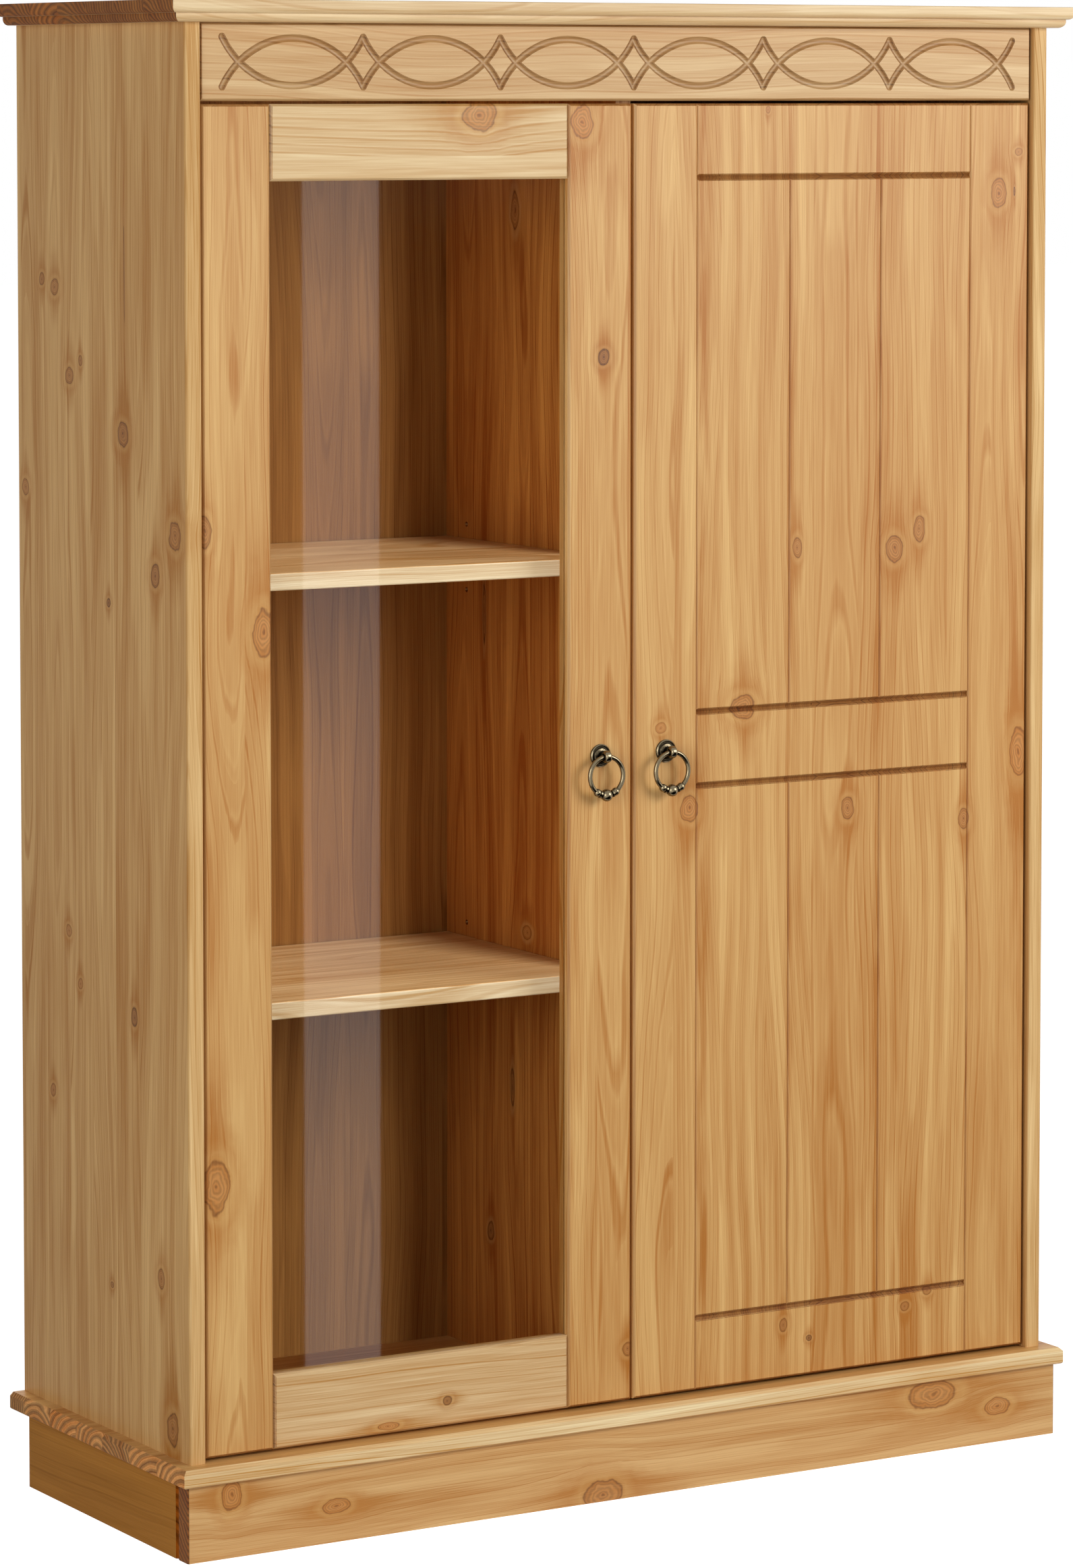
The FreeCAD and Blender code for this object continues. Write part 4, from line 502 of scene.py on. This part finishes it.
# Ring pulls: cast brass, blackened and rubbed bright again on what stands proud. A rosette and an eye
# sit on the door, a ring with turned beads hangs in the eye. The eye sees nearly black hollows and
# olive rims; the patina has blotches of about 1 mm and gathers where less than 8 mm is open.
HOLLOW = 0.008
BLOTCHES_PER_METRE = 900.0
BLOTCH_REACH = 0.35
brass = bpy.data.materials.new("antique_brass")
brass.use_nodes = True
tree = brass.node_tree
here = add(tree, "ShaderNodeTexCoord").outputs
open_sky = add(tree, "ShaderNodeAmbientOcclusion", {"Distance": HOLLOW}, samples=8)
blotch = add(tree, "ShaderNodeTexNoise",
             {"Vector": here["Object"], "Scale": BLOTCHES_PER_METRE, "Detail": 3.0})
rubbed = add(tree, "ShaderNodeMath", {0: blotch, 1: BLOTCH_REACH, 2: -BLOTCH_REACH / 2},
             operation="MULTIPLY_ADD")
rubbed = add(tree, "ShaderNodeMath", {0: open_sky.outputs["AO"], 1: rubbed}, operation="ADD")
patina = add(tree, "ShaderNodeValToRGB", {0: rubbed}, stops=(
    (0.35, linear("#0c0a08")), (0.72, linear("#2e271d")), (0.97, linear("#80735a"))))
dull = add(tree, "ShaderNodeMapRange", {0: rubbed, 1: 0.4, 2: 1.0, 3: 0.5, 4: 0.2})
surface = tree.nodes["Principled BSDF"]
surface.inputs["Metallic"].default_value = 1.0
tree.links.new(patina.outputs["Color"], surface.inputs["Base Color"])
tree.links.new(dull.outputs[0], surface.inputs["Roughness"])

# Hinges, screws, nails, shelf pins and strikes: pressed and turned steel, zinc plated. The plating is
# a pale grey, half bright, with clouds of 2.5 mm.
CLOUDS_PER_METRE = 400.0
steel = bpy.data.materials.new("zinc_plated_steel")
steel.use_nodes = True
tree = steel.node_tree
here = add(tree, "ShaderNodeTexCoord").outputs
cloud = add(tree, "ShaderNodeTexNoise", {"Vector": here["Object"], "Scale": CLOUDS_PER_METRE, "Detail": 4.0})
shade = add(tree, "ShaderNodeValToRGB", {0: cloud}, stops=(
    (0.3, linear("#9c9d9b")), (0.7, linear("#c9c9c5"))))
dull = add(tree, "ShaderNodeMapRange", {0: cloud, 3: 0.30, 4: 0.46})
surface = tree.nodes["Principled BSDF"]
surface.inputs["Metallic"].default_value = 1.0
tree.links.new(shade.outputs["Color"], surface.inputs["Base Color"])
tree.links.new(dull.outputs[0], surface.inputs["Roughness"])

# Magnetic catches: moulded in brown ABS and screwed to the partition. The mould's sparked texture
# leaves a fine grit of 0.7 mm, drawn coarser than the real one, so that it shows.
GRIT_PER_METRE = 1500.0
plastic = bpy.data.materials.new("moulded_brown_plastic")
plastic.use_nodes = True
tree = plastic.node_tree
here = add(tree, "ShaderNodeTexCoord").outputs
grit = add(tree, "ShaderNodeTexNoise", {"Vector": here["Object"], "Scale": GRIT_PER_METRE, "Detail": 2.0})
shade = add(tree, "ShaderNodeValToRGB", {0: grit}, stops=(
    (0.3, linear("#5a3a22")), (0.7, linear("#6e492c"))))
rough = add(tree, "ShaderNodeBump", {"Strength": 0.3, "Distance": 0.0001, "Height": grit})
surface = tree.nodes["Principled BSDF"]
surface.inputs["Roughness"].default_value = 0.5
tree.links.new(shade.outputs["Color"], surface.inputs["Base Color"])
tree.links.new(rough.outputs[0], surface.inputs["Normal"])

# Every fitting takes the finish of the slot that its record names.
FITTINGS = {"antique_brass": brass, "zinc_steel": steel, "catch_plastic": plastic}
for row in frame["record"]["subparts"]:
    if row["material_slot"] in FITTINGS:
        fitting = frame["nodes"][row["node"]]
        fitting.data.materials.clear()
        fitting.data.materials.append(FITTINGS[row["material_slot"]])

# Studio: a white floor that keeps a soft shadow, a white surround, one large soft light from the
# right and above, and a weaker one from the left.
scene = bpy.context.scene
scene.view_settings.view_transform = "Standard"
bpy.ops.mesh.primitive_plane_add(size=60.0, location=(0.0, 0.0, 0.0))
floor = bpy.context.object
floor.name = "studio_floor"
FLOOR_GLOW = 0.94
white = bpy.data.materials.new("white_floor")
white.use_nodes = True
tree = white.node_tree
tree.nodes.remove(tree.nodes["Principled BSDF"])
rays = add(tree, "ShaderNodeLightPath").outputs
seen = add(tree, "ShaderNodeMath", {0: rays["Is Camera Ray"], 1: rays["Is Glossy Ray"]}, operation="MAXIMUM")
seen = add(tree, "ShaderNodeMath", {0: seen, 1: rays["Is Transmission Ray"]}, operation="MAXIMUM")
paint = add(tree, "ShaderNodeBsdfDiffuse", {"Color": linear("#dedede")})
thin = add(tree, "ShaderNodeBsdfDiffuse", {"Color": linear("#c0c0c0")})
glow = add(tree, "ShaderNodeEmission", {"Color": linear("#ffffff"), "Strength": FLOOR_GLOW})
bright = add(tree, "ShaderNodeAddShader", {0: thin, 1: glow})
both = add(tree, "ShaderNodeMixShader", {0: seen, 1: paint, 2: bright})
tree.links.new(both.outputs[0], tree.nodes["Material Output"].inputs["Surface"])
floor.data.materials.append(white)

AMBIENT = 0.15
world = bpy.data.worlds.new("studio_surround")
scene.world = world
world.use_nodes = True
tree = world.node_tree
rays = add(tree, "ShaderNodeLightPath").outputs
seen = add(tree, "ShaderNodeMath", {0: rays["Is Camera Ray"], 1: rays["Is Glossy Ray"]}, operation="MAXIMUM")
seen = add(tree, "ShaderNodeMath", {0: seen, 1: rays["Is Transmission Ray"]}, operation="MAXIMUM")
dim = add(tree, "ShaderNodeBackground", {"Color": linear("#ffffff"), "Strength": AMBIENT})
full = add(tree, "ShaderNodeBackground", {"Color": linear("#ffffff"), "Strength": 1.0})
both = add(tree, "ShaderNodeMixShader", {0: seen, 1: dim, 2: full})
tree.links.new(both.outputs[0], tree.nodes["World Output"].inputs["Surface"])


def softbox(name, width, height, power, stand, target):
    """A rectangular soft light that faces a point."""
    lamp = bpy.data.lights.new(name, "AREA")
    lamp.shape = "RECTANGLE"
    lamp.size = width
    lamp.size_y = height
    lamp.energy = power
    light = bpy.data.objects.new(name, lamp)
    scene.collection.objects.link(light)
    light.location = stand
    aim = Vector(target) - Vector(stand)
    light.rotation_euler = aim.to_track_quat("-Z", "Y").to_euler()
    light.visible_camera = False
    return light


softbox("key_softbox", 2.2, 1.8, 101.0, (2.35, -3.12, 2.0), (0.0, -0.16, 0.75))
softbox("left_softbox", 2.0, 2.2, 60.0, (-3.19, -2.18, 1.33), (-0.4, 0.0, 0.7))

# One light behind and above lights the back and the top, and leaves the floor alone.
rear_light = softbox("rear_softbox", 1.2, 2.0, 75.0, (0.3, 3.2, 2.6), (0.0, 0.18, 0.8))
lit = bpy.data.collections.new("lit_from_behind")
for name in ("left_back_panel", "right_back_panel", "plinth_back", "base_board", "top_board"):
    lit.objects.link(frame["nodes"][name])
rear_light.light_linking.receiver_collection = lit
rear_light.visible_glossy = False

# Two lights stand in front and light what is inside the left half, past the glazed door: the higher
# one the shelves, the lower one the back and the partition.
shading = bpy.data.collections.new("shades_inside")
for name in ("left_lower_shelf", "left_upper_shelf", "centre_partition", "left_side_panel", "frieze_board",
             "top_board", "base_board"):
    shading.objects.link(frame["nodes"][name])
INSIDE_LIGHTS = (
    ("shelf_softbox", 1.7, 2.1, 440.0, (1.3, -5.6, 4.51), ("left_lower_shelf", "left_upper_shelf")),
    ("back_softbox", 1.0, 4.0, 200.0, (1.17, -5.72, 2.67), ("left_back_panel", "centre_partition")),
)
for name, width, height, power, stand, lit_nodes in INSIDE_LIGHTS:
    inside = bpy.data.collections.new("lit_by_" + name)
    for node in lit_nodes:
        inside.objects.link(frame["nodes"][node])
    cabinet_light = softbox(name, width, height, power, stand, (-0.2, 0.0, 0.7))
    cabinet_light.light_linking.receiver_collection = inside
    cabinet_light.light_linking.blocker_collection = shading

# The strip light stands close to the glazed door and lights the pane alone: its mirror image is the
# pale upright band in the glass.
STRIP_X, STRIP_Y, STRIP_MIDDLE, PANE_FACE = -0.0323, -0.650, 0.63, -0.1515
strip_light = softbox("strip_softbox", 0.0878, 1.21, 0.62, (STRIP_X, STRIP_Y, STRIP_MIDDLE),
                      (STRIP_X, PANE_FACE, STRIP_MIDDLE))
lit = bpy.data.collections.new("lit_by_strip")
lit.objects.link(pane)
strip_light.light_linking.receiver_collection = lit

# Black cards lie on the floor before and beside the cupboard and stand at the right, to keep the white
# surround out of the pane's mirror image and off the lower boards. Only reflections show them.
black = bpy.data.materials.new("black_card")
black.use_nodes = True
surface = black.node_tree.nodes["Principled BSDF"]
surface.inputs["Base Color"].default_value = linear("#050505")
surface.inputs["Specular IOR Level"].default_value = 0.0
CARDS = {
    "front_card": ((-0.8, -0.3, 0.002), (0.9, -0.3, 0.002), (3.0, -3.6, 0.002), (0.3, -3.6, 0.002)),
    "left_card": ((-0.6, -0.5, 0.002), (-0.6, 0.3, 0.002), (-2.2, 3.6, 0.002), (-3.0, 2.4, 0.002)),
    "standing_card": ((1.05, -2.95, 0.002), (1.75, -2.95, 0.002), (1.75, -2.95, 1.25), (1.05, -2.95, 1.25)),
}
for name, corners in CARDS.items():
    sheet = bmesh.new()
    sheet.faces.new([sheet.verts.new(corner) for corner in corners])
    card = bpy.data.objects.new(name, bpy.data.meshes.new(name))
    sheet.to_mesh(card.data)
    sheet.free()
    card.data.materials.append(black)
    scene.collection.objects.link(card)
    card.visible_camera = card.visible_diffuse = card.visible_shadow = card.visible_transmission = False

# Camera at the photograph's viewing angle, in an image of 1591 by 2324. Its axis meets the image in row
# PRINCIPAL_ROW, and the shift brings the whole cupboard into the frame.
IMAGE_HEIGHT = 2324
PRINCIPAL_ROW = 690.0
FOCAL_PIXELS = 8259.6
SENSOR = 36.0
YAW, PITCH = math.radians(30.884), math.radians(3.8285)
view = bpy.data.cameras.new("photo_camera")
view.sensor_width = SENSOR
view.lens = FOCAL_PIXELS * SENSOR / IMAGE_HEIGHT
view.shift_y = (PRINCIPAL_ROW - IMAGE_HEIGHT / 2) / IMAGE_HEIGHT
view.clip_end = 100.0
camera = bpy.data.objects.new("photo_camera", view)
scene.collection.objects.link(camera)
camera.location = (-2.737283, -4.559146, 1.317537)
camera.rotation_euler = (math.pi / 2 - PITCH, 0.0, -YAW)
scene.camera = camera
